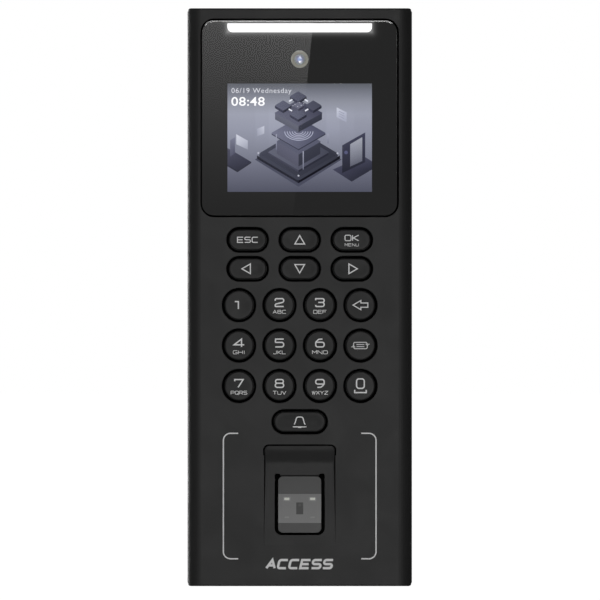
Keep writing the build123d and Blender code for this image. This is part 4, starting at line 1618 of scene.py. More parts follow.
@dataclass
class CameraEye:
    """Camera behind the window: barrel, stepped mouth and coated lens."""

    ring_radius: float = 2.95
    steps: int = 64

    def __post_init__(self) -> None:
        """Takes the camera's place from its CAD nodes."""
        box = Extent("camera_barrel")
        self.z, self.front, self.back = box.z, box.front, box.back

    def build(self, finishes: Finishes) -> None:
        """Builds and dresses the barrel and the lens."""
        front = self.front - 0.03
        barrel = Draft("camera_ring")
        mouth = [(4.2, self.back), (4.2, front - 1.6), (self.ring_radius + 0.35, front - 1.6),
                 (self.ring_radius + 0.35, front - 0.1)]
        mouth += [(self.ring_radius + 0.25, front), (self.ring_radius - 0.1, front), (2.1, front - 0.35),
                  (1.95, front - 0.42)]
        mouth += [(1.7, front - 0.6), (1.7, front - 1.4), (0.02, front - 1.4)]
        barrel.lathe(0.0, self.z, mouth, self.steps)
        ring = ((0.0, grey(60)), (0.55, linear(118, 112, 128)), (0.66, linear(134, 132, 122)),
                (0.85, linear(146, 145, 136)), (1.0, linear(140, 140, 132)))
        # The ring gives off its colours as painted light so that it shows behind the glass.
        finish = finishes.add(LensCoatingPaintedGlow("camera_ring_grey", self.z, self.ring_radius, ring, 0.55))
        install(barrel.object(40.0, recalculate=True), ROOT, "camera_plastic", finish, "camera_barrel")
        lens = Draft("camera_front_lens")
        radius, seat, swell = 2.0, front - 0.62, 0.5
        dome = [(radius, front - 0.9), (radius, seat)]
        for angle in (math.radians(degrees) for degrees in range(10, 90, 10)):
            dome.append((radius * math.cos(angle), seat + swell * math.sin(angle)))
        lens.lathe(0.0, self.z, dome + [(0.02, front - 0.12)], self.steps)
        # The lens's blues and their glow are painted light.
        blues = ((0.0, linear(120, 140, 182)), (0.3, linear(124, 138, 172)), (0.55, linear(122, 120, 140)),
                 (0.8, linear(118, 126, 128)), (1.0, linear(128, 130, 124)))
        coating_painted_glow = finishes.add(LensCoatingPaintedGlow("lens_coating", self.z, radius, blues, 0.75))
        install(lens.object(50.0, recalculate=True), ROOT, "lens_glass", coating_painted_glow, "camera_lens")


@dataclass
class ScreenPicture:
    """Lit picture on the display: a soft grey backdrop, a stack of plates, and the date and time."""

    width: float = 48.96
    height: float = 36.72
    layer: float = 0.004
    foot_shade: float = 0.8
    sky: Sequence[tuple[float, Colour]] = (
        (-18.36, linear(80, 82, 97)), (-15.5, linear(91, 93, 108)), (-10.5, linear(106, 108, 124)),
        (-4.0, linear(127, 130, 145)), (3.0, linear(145, 148, 164)), (8.0, linear(153, 156, 171)),
        (12.0, linear(140, 143, 155)), (16.0, linear(112, 115, 126)), (17.6, linear(98, 101, 109)),
        (18.36, linear(92, 95, 102)),
    )

    def __post_init__(self) -> None:
        """Takes the picture's place from the display cell's CAD node."""
        panel = Extent("lcd_panel")
        self.z, self.front = panel.z, panel.front + 0.01
        self.draft = Draft("screen_picture")
        self.level = 0

    def at(self, points: Sequence[Point]) -> list[Point]:
        """Moves picture points to the display."""
        return [(x, z + self.z) for x, z in points]

    def shade(self, z: float) -> Colour:
        """Backdrop colour at a height."""
        for (z0, c0), (z1, c1) in zip(self.sky, self.sky[1:]):
            if z <= z1:
                t = min(max((z - z0) / (z1 - z0), 0.0), 1.0)
                return tuple(a + (b - a) * t for a, b in zip(c0, c1))
        return self.sky[-1][1]

    def layered(self, points: Sequence[Point], tints: Sequence[Colour]) -> None:
        """Adds a flat shape in front of what is drawn so far."""
        self.level += 1
        area = sum(a[0] * b[1] - b[0] * a[1] for a, b in zip(points, list(points[1:]) + [points[0]]))
        if area < 0:
            points = list(reversed(points))
            tints = list(reversed(tints)) if len(tints) > 1 else tints
        self.draft.sheet(self.at(points), self.front + self.layer * self.level, tints)

    def backdrop(self) -> None:
        """Draws the graded backdrop in bands, with faint upright panels."""
        half = self.width / 2
        for (z0, c0), (z1, c1) in zip(self.sky, self.sky[1:]):
            self.draft.sheet(self.at([(-half, z0), (half, z0), (half, z1), (-half, z1)]), self.front,
                             [c0, c0, c1, c1])
        for x0, x1, lift in ((-15.0, -10.5, 1.05), (-10.5, -4.0, 1.1), (9.0, 13.5, 1.06), (18.5, half, 0.95)):
            levels = (-4.0, -1.0, 3.0, 6.0, 8.0, 12.0)
            span = levels[-1] - levels[0]
            swell = {z: 1 + (lift - 1) * math.sin(math.pi * (z - levels[0]) / span) for z in levels}
            for z0, z1 in zip(levels, levels[1:]):
                low, high = (tuple(c * swell[z] for c in self.shade(z)) for z in (z0, z1))
                self.layered([(x0, z0), (x1, z0), (x1, z1), (x0, z1)], [low, low, high, high])

    def slab(self, cx: float, cz: float, half_w: float, half_h: float, thick: float, top: Sequence[Colour],
             left: Colour, right: Colour, corner: float) -> None:
        """Draws a plate seen from above at an angle.

        Args:
            cx: middle of its top face.
            cz: middle of its top face.
            half_w: half its width.
            half_h: half its height as seen.
            thick: thickness as seen.
            top: colours of the top face at its left, bottom, right and top corners.
            left: colour of the left edge face.
            right: colour of the right edge face.
            corner: rounding of its corners.
        """
        west, south, east, north = (cx - half_w, cz), (cx, cz - half_h), (cx + half_w, cz), (cx, cz + half_h)
        drop = lambda p: (p[0], p[1] - thick)
        dim = lambda c: tuple(v * self.foot_shade for v in c)
        inner_w, inner_s, inner_e = ((p[0] + (cx - p[0]) * 0.03,
                                      p[1] + (cz - p[1]) * 0.03) for p in (west, south, east))
        self.layered([inner_w, drop(inner_w), drop(inner_s), inner_s], [left, dim(left), dim(left), left])
        self.layered([inner_s, drop(inner_s), drop(inner_e), inner_e], [right, dim(right), dim(right), right])
        path: list[Point] = []
        tints: list[Colour] = []
        rounded = rounded_path([west, south, east, north], corner, True, 4)
        share = len(rounded) // 4
        for index, colour in enumerate(top):
            path += rounded[index * share:(index + 1) * share]
            tints += [colour] * share
        self.layered(path, tints)

    def stack(self) -> None:
        """Draws the stack of plates in the middle."""
        x = -0.4
        ink = linear
        self.layered([(x - 14.8, -7.4), (x, -16.6), (x + 14.6, -7.4), (x, 1.0)], [ink(72, 74, 90)])
        self.slab(x, -6.0, 14.5, 8.6, 1.1, [ink(66, 68, 82), ink(60, 62, 75), ink(54, 56, 68),
                                            ink(58, 60, 74)], ink(40, 41, 52), ink(24, 24, 33), 1.2)
        self.slab(x, -5.9, 12.8, 7.5, 0.2, [ink(62, 64, 78), ink(54, 56, 68), ink(50, 52, 64),
                                            ink(60, 62, 76)], ink(44, 45, 56), ink(36, 37, 47), 0.6)
        self.slab(x, -4.9, 10.4, 6.1, 0.9, [ink(95, 97, 113), ink(84, 86, 102), ink(68, 70, 84),
                                            ink(80, 82, 98)], ink(70, 71, 88), ink(46, 47, 60), 0.12)
        self.slab(x, -1.3, 7.6, 4.4, 4.2, [ink(88, 90, 108)] * 4, ink(92, 93, 111), ink(58, 60, 73), 0.12)
        self.slab(x, 1.5, 9.4, 5.4, 0.5, [ink(112, 114, 134), ink(92, 94, 113), ink(78, 80, 100),
                                          ink(80, 82, 102)], ink(62, 63, 80), ink(48, 49, 64), 0.3)
        for ring in range(5):
            half_w = 4.8 - ring * 0.85
            path = [(x + 0.1 + half_w * math.cos(math.radians(a)),
                     2.1 + half_w * 0.62 * math.sin(math.radians(a))) for a in range(180, 361, 12)]
            self.curve(path, 0.24, ink(176, 179, 200))
        self.slab(x, 8.4, 8.2, 4.5, 2.2, [ink(97, 98, 116), ink(92, 93, 111), ink(66, 67, 84),
                                          ink(76, 77, 93)], ink(100, 102, 117), ink(58, 60, 73), 0.12)
        for cx, cz, lift in ((-5.2, 10.9, 1.15), (5.0, 10.9, 0.8), (-0.1, 14.0, 0.95), (-0.1, 7.9, 1.12)):
            top = [tuple(c * lift * f for c in ink(86, 88, 105)) for f in (1.05, 1.0, 0.85, 0.95)]
            self.slab(x + cx, cz, 2.9, 1.75, 0.9, top, ink(66, 67, 84), ink(46, 47, 60), 0.3)
        self.slab(x, 11.0, 2.0, 1.2, 0.9, [ink(104, 105, 122)] * 4, ink(90, 91, 109), ink(60, 60, 76), 0.12)
        for px, pz in ((-1.2, 11.3), (0.4, 11.9), (0.9, 10.9), (-0.3, 10.6), (-1.9, 10.8), (1.8, 11.5)):
            self.layered(disc(x + px, pz, 0.14, 8), [ink(200, 202, 214)])
        for x0, z0, x1, z1 in ((-3.6, 12.3, -2.5, 12.95), (1.7, 12.95, 2.8, 12.3), (-3.7, 9.7, -2.6, 9.05),
                               (1.8, 9.05, 2.9, 9.7)):
            self.curve([(x0, z0), (x1, z1)], 0.5, ink(222, 224, 234))
        for px, low, high in ((-7.9, -4.2, 1.2), (1.2, -10.8, -4.6), (9.6, -2.0, 1.4)):
            self.layered([(px - 0.18, low), (px + 0.18, low), (px + 0.18, high), (px - 0.18, high)],
                         [ink(108, 110, 130), ink(108, 110, 130), ink(158, 160, 178), ink(158, 160, 178)])
        for px, pz in ((-14.0, -5.2), (x, -12.9), (12.8, -5.3)):
            self.layered(disc(px, pz, 0.32, 12), [ink(182, 184, 198)])

    def curve(self, path: Sequence[Point], width: float, colour: Colour) -> None:
        """Draws a line of even width."""
        left, right = [], []
        for index, here in enumerate(path):
            last, following = path[max(index - 1, 0)], path[min(index + 1, len(path) - 1)]
            along = (Vector(following) - Vector(last)).normalized()
            across = Vector((-along.y, along.x)) * width / 2
            left.append(tuple(Vector(here) + across))
            right.append(tuple(Vector(here) - across))
        self.layered(right + left[::-1], [colour])

    def side_scenes(self) -> None:
        """Draws the two floating cards, and a plain gate and desk at the sides."""
        ink = linear
        self.layered([(12.5, 10.3), (15.9, 8.6), (15.9, 5.2), (12.5, 7.0)],
                     [ink(196, 199, 212), ink(176, 179, 196), ink(156, 159, 178), ink(176, 179, 196)])
        for drop in (0.0, 0.8, 1.6):
            self.curve([(13.3, 9.0 - drop), (15.1, 8.1 - drop)], 0.2, ink(140, 143, 164))
        self.layered([(-14.4, 3.0), (-12.0, 4.0), (-12.0, 1.4), (-14.4, 0.5)],
                     [ink(164, 167, 184), ink(196, 199, 212), ink(176, 179, 194), ink(150, 153, 170)])
        self.layered([(-24.48, -9.2), (-24.48, -3.5), (-22.3, -4.7), (-16.4, -8.2), (-21.1, -11.2)],
                     [ink(60, 61, 76), ink(76, 77, 92), ink(70, 71, 88), ink(54, 55, 70), ink(48, 49, 62)])
        self.layered([(-24.48, -9.2), (-21.1, -11.2), (-16.4, -8.2), (-16.4, -8.6), (-21.1, -11.7),
                      (-24.48, -9.7)], [ink(48, 49, 60)])
        self.layered([(-23.6, -6.4), (-21.9, -5.4), (-21.9, 0.2), (-23.6, -0.9)],
                     [ink(84, 85, 104), ink(78, 79, 98), ink(120, 122, 142), ink(112, 114, 132)])
        self.layered([(-21.5, 1.2), (-17.6, -1.0), (-17.6, -4.0), (-21.5, -2.2)],
                     [ink(206, 208, 220), ink(178, 181, 196), ink(150, 153, 170), ink(186, 189, 202)])
        self.layered([(11.2, -10.8), (17.6, -14.9), (24.48, -10.8), (24.48, -8.0), (21.6, -6.2)],
                     [ink(66, 67, 86), ink(46, 47, 60), ink(44, 45, 58), ink(60, 61, 78), ink(70, 71, 90)])
        self.layered([(14.4, -2.6), (22.2, 1.8), (22.2, -8.3), (14.4, -12.0)],
                     [ink(58, 59, 76), ink(64, 65, 84), ink(44, 45, 58), ink(38, 39, 50)])
        self.layered([(17.1, -2.2), (21.2, 0.2), (21.2, -7.9), (17.1, -9.8)],
                     [ink(150, 153, 166), ink(158, 161, 172), ink(98, 100, 114), ink(92, 94, 108)])
        self.layered(disc(15.7, -5.0, 0.62, 16), [ink(86, 88, 120)])

    def words(self, text: str, left: float, low: float, size: float, stretch: float, spacing: float,
              weight: float, colour: Colour) -> None:
        """Sets a line of text.

        Args:
            text: the words.
            left: x of the first letter.
            low: height of the letters' foot.
            size: letter size.
            stretch: width of the letters against normal.
            spacing: space between the letters against normal.
            weight: how much the strokes are thickened.
            colour: colour of the text.
        """
        curve = bpy.data.curves.new("screen_words", "FONT")
        curve.body = text
        curve.size = size
        curve.offset = weight
        curve.space_character = spacing
        curve.resolution_u = 4
        holder = linked("screen_words", curve)
        bpy.context.view_layer.update()
        mesh = bpy.data.meshes.new_from_object(holder.evaluated_get(bpy.context.evaluated_depsgraph_get()))
        self.level += 1
        depth = self.front + self.layer * self.level
        points = [(left + v.co.x * stretch, -depth, low + v.co.y + self.z) for v in mesh.vertices]
        self.draft.add(points, [tuple(p.vertices) for p in mesh.polygons], colour)
        bpy.data.objects.remove(holder)
        bpy.data.meshes.remove(mesh)

    def build(self, finishes: Finishes) -> None:
        """Draws the picture and dresses it."""
        self.backdrop()
        self.side_scenes()
        self.stack()
        self.words("06/19 Wednesday", -23.2, 15.15, 2.4, 1.06, 1.1, -0.006, linear(216, 217, 224))
        self.words("08:48", -23.25, 10.85, 4.2, 1.17, 1.06, 0.05, linear(250, 250, 252))
        install(self.draft.object(), ROOT, "lcd_cell", finishes["screen_light"])


@dataclass
class Window:
    """Cover glass, the dark print behind it, the picture, the status light, the camera, and painted shade in
    the gap round the glass.
    """

    width: float = 65.9
    height: float = 65.8
    corner: float = 4.0
    shift: float = -0.1
    opening: float = 0.55
    bevel: float = 0.012
    slot: Point = (14.2, 1.7)

    def __post_init__(self) -> None:
        """Takes the glass's place from its CAD node."""
        box = Extent("display_glass")
        self.z, self.front, self.back = box.z, box.front, box.back

    def ring(self, inset: float, depth: float) -> list[Place]:
        """One ring of the glass."""
        flat = rounded_rect(self.shift, self.z, self.width - 2 * inset, self.height - 2 * inset,
                            self.corner - inset, 14)
        return [(x, -depth, z) for x, z in flat]

    def painted_shade(self) -> bpy.types.Object:
        """Builds painted shade in the gap round the glass: a near-black sheet over its wall and ledge.

        Returns:
            The liner.
        """
        front = Extent("front_shell").front
        draft = Draft("window_gap_liner")
        section = [(-self.opening, front - 0.17), (0.04 - self.opening, front - 0.17),
                   (0.04 - self.opening, self.back + 0.1),
                   (-0.03, self.back + 0.1), (-0.03, self.back + 0.02), (-self.opening, self.back + 0.02)]
        draft.hoop([self.ring(inset, depth) for inset, depth in section])
        return draft.object(recalculate=True)

    def glass(self) -> bpy.types.Object:
        """Builds the glass with its ground and rounded edge.

        Returns:
            The glass.
        """
        draft = Draft("window_glass")
        rings = [self.ring(0.0, self.back), self.ring(0.0, self.front - self.bevel)]
        for index in range(1, 7):
            angle = math.radians(15 * index)
            rings.append(self.ring(self.bevel * (1 - math.cos(angle)),
                                   self.front - self.bevel * (1 - math.sin(angle))))
        draft.loft(rings)
        made = draft.object()
        work = bmesh.new()
        work.from_mesh(made.data)
        settle(work, made.data, 25.0)
        return made

    def mask(self, light: LightBar, picture: ScreenPicture, camera: CameraEye) -> bpy.types.Object:
        """Builds the dark print, open over the light, the display and the camera.

        Args:
            light: the status light.
            picture: the picture.
            camera: the camera.

        Returns:
            The print.
        """
        draft = Draft("window_mask")
        outline = rounded_rect(self.shift, self.z, self.width - 0.02, self.height - 0.02, self.corner, 14)
        half_w, half_h = picture.width / 2, picture.height / 2
        screen = [(half_w, picture.z - half_h), (half_w, picture.z + half_h), (-half_w, picture.z + half_h),
                  (-half_w, picture.z - half_h)]
        holes = [light.outline(), screen, disc(0.0, camera.z, camera.ring_radius, 64)]
        draft.plate(outline, self.back - 0.03, self.back + 0.015, holes)
        return draft.object()

    def sound_screen(self, finishes: Finishes) -> None:
        """Builds the wire screen between the microphone and its slot."""
        microphone = Extent("microphone")
        z, d = microphone.z, microphone.front + 0.12
        half_w, half_h = self.slot[0] / 2, self.slot[1] / 2
        backing = Draft("microphone_gauze")
        backing.plate(rounded_rect(0, z, self.slot[0], self.slot[1], half_h, 6), d - 0.1, d)
        install(backing.object(), ROOT, "adhesive_foam", finishes["black_moulding"])
        pitch, wire = 0.28, 0.05
        count = int(self.slot[0] / pitch)
        margin, proud = 0.3, 0.04
        start = (-half_w + margin, -(d + proud), z)
        made = Copies.row("microphone_gauze_wires", wire_template(wire, half_h - 0.15, "z"), count, start,
                          (pitch, 0, 0),
                          finishes["black_moulding"])
        install(made, ROOT, "adhesive_foam", finishes["black_moulding"])

    def build(self, finishes: Finishes, light: LightBar) -> None:
        """Builds and dresses everything in the window."""
        self.sound_screen(finishes)
        # A near-black sheet in the gap round the glass: painted shade.
        install(self.painted_shade(), ROOT, "shell_plastic", finishes["deep_black"])
        picture = ScreenPicture()
        camera = CameraEye()
        install(self.glass(), ROOT, "window_glass", finishes["window_clear"], "display_glass")
        install(self.mask(light, picture, camera), ROOT, "adhesive_foam", finishes["window_mask"])
        light.build(finishes)
        camera.build(finishes)
        picture.build(finishes)


# ---------------------------------------------------------------- fingerprint reader
@dataclass
class FingerReader:
    """Glass block of the fingerprint reader and what shows in it, on the recess's sloping floor."""

    width: float = 14.7
    height: float = 19.1
    corner: float = 1.7
    slope: float = 0.1

    def __post_init__(self) -> None:
        """Takes the reader's place from the prism's CAD node."""
        low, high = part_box("sensor_prism")
        run = math.hypot(1.0, self.slope)
        self.along = Vector((0, self.slope, 1)) / run
        self.out = Vector((0, -1, self.slope)) / run
        foot = Vector((0.0, low.y / MM, 0.0))
        reach = self.height / 2 - 0.35
        self.origin = Vector((0.0, foot.y + self.along.y * reach, 0.0))
        self.origin.z = low.z / MM + self.along.z * self.height / 2 + 0.17

    def at(self, points: Sequence[Point], lift: float) -> list[Place]:
        """Places flat points on the sloping floor at a height above it."""
        return [tuple(self.origin + Vector((x, 0, 0)) + self.along * v + self.out * lift) for x, v in points]

    def ring(self, inset: float, lift: float) -> list[Place]:
        """One ring of the glass block."""
        return self.at(rounded_rect(0, 0, self.width - 2 * inset, self.height - 2 * inset,
                                    self.corner - inset * 0.7, 10), lift)

    def block(self) -> bpy.types.Object:
        """Builds the glass block with a fine rounded edge.

        Returns:
            The block.
        """
        draft = Draft("sensor_glass_block")
        dark = grey(58.0)
        rings = [self.ring(0.0, -1.7)]
        rings += [self.ring(0.22 * (1 - math.cos(a)),
                            -0.22 * (1 - math.sin(a)) - 0.02) for a in (0, 0.4, 0.8, 1.2, math.pi / 2)]
        draft.loft(rings, tint=dark)
        return draft.object(30.0)

    def panel(self, draft: Draft, low: float, high: float, tints: Sequence[Colour], level: int) -> None:
        """Draws one band of the block between two heights.

        Args:
            draft: draft to draw in.
            low: its lower edge above the middle.
            high: its upper edge above the middle.
            tints: colours of its lower and upper edge.
            level: its layer.
        """
        outline = rounded_rect(0, 0, self.width - 0.2, self.height - 0.2, self.corner - 0.1, 10)
        for limit, keep in ((low, 1), (high, -1)):
            kept: list[Point] = []
            for a, b in zip(outline, outline[1:] + outline[:1]):
                inside = [keep * (p[1] - limit) >= 0 for p in (a, b)]
                if inside[0]:
                    kept.append(a)
                if inside[0] != inside[1]:
                    share = (limit - a[1]) / (b[1] - a[1])
                    kept.append((a[0] + (b[0] - a[0]) * share, limit))
            outline = kept
        shades = []
        for _, v in outline:
            share = (v - low) / (high - low)
            shades.append(tuple(a + (b - a) * share for a, b in zip(*tints)))
        start = len(draft.points)
        draft.points += self.at(outline, 0.004 * level)
        draft.faces.append([start + i for i in range(len(outline))])
        draft.tints.append(shades)

    def patch(self, draft: Draft, outline: Sequence[Point], tint: Colour, level: int) -> None:
        """Draws one flat patch on the block."""
        draft.add(self.at(outline, 0.004 * level), [tuple(range(len(outline)))], tint)

    def faces(self) -> bpy.types.Object:
        """Builds what shows in the glass, painted as flat colour: the prism's bands with their painted
        shading, two painted lamp glows, two painted reflections, and the lens.

        Returns:
            The faces.
        """
        draft = Draft("sensor_prism_faces")
        # Painted shading: each band's grey is how bright that face of the prism looks.
        self.panel(draft, 3.55, 9.55, (grey(84), grey(81)), 1)
        self.panel(draft, -6.2, 3.55, (grey(145), grey(138)), 1)
        self.panel(draft, -9.55, -6.2, (grey(78), grey(82)), 1)
        # Painted lamp glows with a paler halo, and below them two painted reflections.
        for x in (-4.36, 4.36):
            self.patch(draft, rounded_rect(x, 1.85, 2.6, 1.5, 0.4, 4), grey(158), 2)
            self.patch(draft, rounded_rect(x, 1.9, 1.75, 0.85, 0.2, 4), linear(255, 255, 246), 3)
            self.patch(draft, rounded_rect(x, -4.3, 1.5, 0.5, 0.2, 4), grey(160), 2)
        self.patch(draft, rounded_rect(0, -1.3, 2.35, 4.0, 0.1, 2), grey(70), 2)
        self.patch(draft, disc(0, -0.2, 0.5, 20), grey(88), 3)
        return draft.object()

    def lip(self) -> bpy.types.Object:
        """Builds the rounded lip that leads from the floor down to the glass's upper edge.

        Returns:
            The lip.
        """
        draft = Draft("sensor_upper_lip")
        half = self.width / 2 - 0.75
        top = self.height / 2
        rows = [(top + 1.9 - 0.18 * index, 0.012, 52.0 * (index / 10) ** 2) for index in range(11)]
        rows += [(top + 0.06, -0.1, 70.0), (top + 0.05, -1.15, 90.0)]
        rings = [self.at([(-half, v), (half, v)], lift) for v, lift, _ in rows]
        draft.add([p for ring in rings for p in ring],
                  [(2 * i, 2 * i + 2, 2 * i + 3, 2 * i + 1) for i in range(len(rows) - 1)])
        lip = draft.object(180.0)
        turned = []
        for face in draft.faces:
            for index in face:
                turn = math.radians(rows[index // 2][2])
                turned.append(self.out * math.cos(turn) - self.along * math.sin(turn))
        lip.data.normals_split_custom_set(turned)
        return lip

    def build(self, finishes: Finishes) -> None:
        """Builds and dresses the reader."""
        install(self.block(), ROOT, "prism_glass", finishes["sensor_faces"], "sensor_prism")
        install(self.faces(), ROOT, "prism_glass", finishes["sensor_faces"])
        install(self.lip(), ROOT, "shell_plastic", finishes["shell_moulding"])


# ---------------------------------------------------------------- housing
@dataclass
class Housing:
    """Front shell, rear cover, what is printed on the front, and a painted shade line over the finger recess.
    """

    bracket_x: float = 25.8
    bracket_z: Point = (-88.4, -46.0)
    bracket_arm: float = 5.0
    bracket_radius: float = 3.3
    bracket_stroke: float = 0.43
    mark_z: float = -90.2
    recess_half: float = 12.1
    recess_top: float = -50.0
    rim_stroke: float = 0.5
    mark: str = "ACCESS"

    def __post_init__(self) -> None:
        """Takes the front's depth from the shell's CAD node."""
        self.front = Extent("front_shell").front

    def flat(self, _x: float, _z: float) -> float:
        """Depth of the flat front."""
        return self.front

    def brackets(self) -> bpy.types.Object:
        """Builds the two printed brackets round the reader.

        Returns:
            The brackets.
        """
        draft = Draft("field_brackets")
        low, high = self.bracket_z
        for side in (-1, 1):
            outer, inner = side * self.bracket_x, side * (self.bracket_x - self.bracket_arm)
            path = rounded_path([(inner, high), (outer, high), (outer, low), (inner, low)],
                                self.bracket_radius, False, 10)
            draft.ribbon(path, self.bracket_stroke, self.flat, 0.012)
        return draft.object()

    def rim(self) -> bpy.types.Object:
        """Builds a dark line round the top of the finger recess: painted shade standing in for the recess's
        shaded upper wall.

        Returns:
            The seam.
        """
        draft = Draft("recess_rim_seam")
        half, top = self.recess_half, self.recess_top
        path = [(-half, top - 3.4), (-half, top), (half, top), (half, top - 3.4)]
        draft.ribbon(rounded_path(path, 2.75, False, 12), self.rim_stroke, self.flat, 0.008)
        return draft.object()

    def eased(self, shell: bpy.types.Object) -> bpy.types.Object:
        """Draws the top and bottom front edges of a housing back a little and its break out.

        Args:
            shell: the housing.

        Returns:
            The same housing.
        """
        front_edge, end_break, drawn_in, pushed_out = 97.2, 97.5, 0.24, 0.16
        for vertex in shell.data.vertices:
            z = vertex.co.z / MM
            if front_edge < abs(z) < end_break:
                vertex.co.z -= math.copysign(drawn_in * MM, z)
            elif abs(z) >= end_break:
                vertex.co.z += math.copysign(pushed_out * MM, z)
        return shell

    def word(self) -> bpy.types.Object:
        """Builds the plain word under the reader.

        Returns:
            The word.
        """
        draft = Draft("field_word")
        for index, (path, closed) in enumerate(Lettering().line(self.mark, (0.0, self.mark_z), 2.75, 21.9,
                                                                0.36)):
            leaning = [(x + (z - self.mark_z) * 0.24, z) for x, z in path]
            draft.ribbon(leaning, 0.8, self.flat, 0.012 + 0.001 * index, closed)
        return draft.object()

    def build(self, finishes: Finishes) -> None:
        """Builds and dresses the housing."""
        install(self.eased(refined("front_shell", "front_housing")), ROOT, "shell_plastic",
                finishes["shell_moulding"], "front_shell")
        # Painted shade along the top of the finger recess.
        install(self.rim(), ROOT, "shell_plastic", finishes["deep_black"])
        install(refined("rear_cover", "rear_housing"), ROOT, "cover_plastic", finishes["cover_moulding"],
                "rear_cover")
        install(self.brackets(), ROOT, "shell_plastic", finishes["bracket_ink"])
        install(self.word(), ROOT, "shell_plastic", finishes["bracket_ink"])


# ---------------------------------------------------------------- rear parts
@dataclass
class WallSide:
    """Wall plate, screws, and the sockets in the wiring bay."""

    screw_head: float = 2.75
    screw_height: float = 1.8
    spring_count: int = 8
    pin_count: int = 10

    def hex_screw(self, radius: float, tall: float, shaft: float, length: float) -> bpy.types.Object:
        """Draws a screw that is driven towards the front, its head's face at the origin.

        Args:
            radius: head radius.
            tall: head height.
            shaft: shaft radius.
            length: length of the shaft.

        Returns:
            The template object.
        """
        draft = Draft("screw_template")
        pitch, bevel, recess_depth = 0.5, 0.25, 1.0
        hexagon = [(shaft * 0.85 / max(math.cos((a % 60 - 30) * math.pi / 180), 0.5),
                    a) for a in range(0, 360, 10)]
        recess = [(r * math.cos(math.radians(a)), r * math.sin(math.radians(a))) for r, a in hexagon]
        circle = lambda r, d: [(x, -d, z) for x, z in disc(0, 0, r, len(recess))]
        rings = [[(x, -recess_depth, z) for x, z in recess], [(x, 0.0, z) for x, z in recess]]
        rings += [circle(radius - bevel, 0.0), circle(radius, bevel), circle(radius, tall),
                  circle(shaft, tall)]
        for index in range(int(length / pitch)):
            turn = tall + pitch * index
            rings += [circle(shaft - 0.16, turn + 0.15), circle(shaft, turn + 0.4)]
        rings.append(circle(0.05, tall + length))
        draft.loft(rings)
        return draft.object(30.0, recalculate=True)

    def screws(self, finishes: Finishes) -> None:
        """Builds the four case screws."""
        low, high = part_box("case_screws")
        x = high.x / MM - self.screw_head
        z = high.z / MM - self.screw_head
        places = [(sx * x, high.y / MM, sz * z) for sx in (-1, 1) for sz in (-1, 1)]
        length = (high.y - low.y) / MM - self.screw_height
        template = self.hex_screw(self.screw_head, self.screw_height, 1.5, length)
        made = Copies.place("case_screw_set", template, places, finishes["screw_steel"])
        install(made, ROOT, "screw_steel", finishes["screw_steel"], "case_screws")

    def socket_springs(self, finishes: Finishes) -> None:
        """Builds the eight spring contacts in the network socket."""
        socket = Extent("network_socket")
        draft = Draft("spring_template")
        wire = [(0.0, 11.0), (-0.4, 9.0), (-2.6, 4.0), (-3.0, 3.4), (-2.7, 3.0)]
        half_width, half_thickness = 0.22, 0.16
        corners = ((-1, -1), (1, -1), (1, 1), (-1, 1))
        rings = [[(sx * half_width, d + sd * half_thickness, z) for sx, sd in corners] for d, z in wire]
        draft.loft(rings)
        start = (socket.x - 3.57, -socket.back - 2.6, socket.foot + 0.5)
        made = Copies.row("network_contacts", draft.object(30.0, recalculate=True), self.spring_count, start,
                          (1.02, 0, 0), finishes["contact_gold"])
        install(made, ROOT, "contact_gold", finishes["contact_gold"])

    def socket_lamps(self, finishes: Finishes) -> None:
        """Builds the two lamp windows at the network socket's mouth."""
        socket = Extent("network_socket")
        draft = Draft("network_lamps")
        for side, colour in ((-1, linear(60, 170, 80)), (1, linear(220, 170, 60))):
            corners = rounded_rect(0, 0, 2.6, 1.5, 0.3, 3)
            centre = Vector((socket.x + side * 6.1, -socket.front + 1.6, socket.foot))
            rings = [[(centre.x + u, centre.y + v, centre.z + dz) for u, v in corners] for dz in (0.3, -0.12)]
            draft.loft(rings, tint=colour)
        install(draft.object(30.0, recalculate=True), ROOT, "socket_metal", finishes["port_colours"])

    def header_pins(self, finishes: Finishes) -> None:
        """Builds the header's row of pointed pins."""
        pins = Extent("header_pins")
        half = 0.32
        draft = Draft("pin_template")
        square = lambda r, z: [(-r, -r, z), (r, -r, z), (r, r, z), (-r, r, z)]
        draft.loft([square(0.12, 0.0), square(half, 0.5), square(half, pins.head - pins.foot)])
        step = (pins.right - pins.left - 2 * half) / (self.pin_count - 1)
        start = (pins.left + half, -(pins.front + pins.back) / 2, pins.foot)
        made = Copies.row("wiring_pins", draft.object(30.0, recalculate=True), self.pin_count, start,
                          (step, 0, 0), finishes["contact_gold"])
        install(made, ROOT, "contact_gold", finishes["contact_gold"], "header_pins")

    def speaker_mesh(self, finishes: Finishes) -> None:
        """Builds the wire screen over the loudspeaker's mouth."""
        mouth = Extent("loudspeaker")
        pitch, wire, frame_width = 0.55, 0.13, 1.2
        x0, x1 = mouth.left + frame_width, mouth.right - frame_width
        d0, d1 = mouth.back + frame_width, mouth.front - frame_width
        z = mouth.foot + 0.35
        steel = finishes["tray_steel"]
        along = (wire_template(wire, (d1 - d0) / 2, "y"), int((x1 - x0) / pitch),
                 (x0 + pitch / 2, -(d0 + d1) / 2, z), (pitch, 0, 0))
        weft = (wire_template(wire, (x1 - x0) / 2, "x"), int((d1 - d0) / pitch),
                (0, -(d0 + pitch / 2), z + 0.2), (0, -pitch, 0))
        for name, layout in (("speaker_screen", along), ("speaker_screen_weft", weft)):
            install(Copies.row(name, *layout, steel), ROOT, "tray_steel", steel)

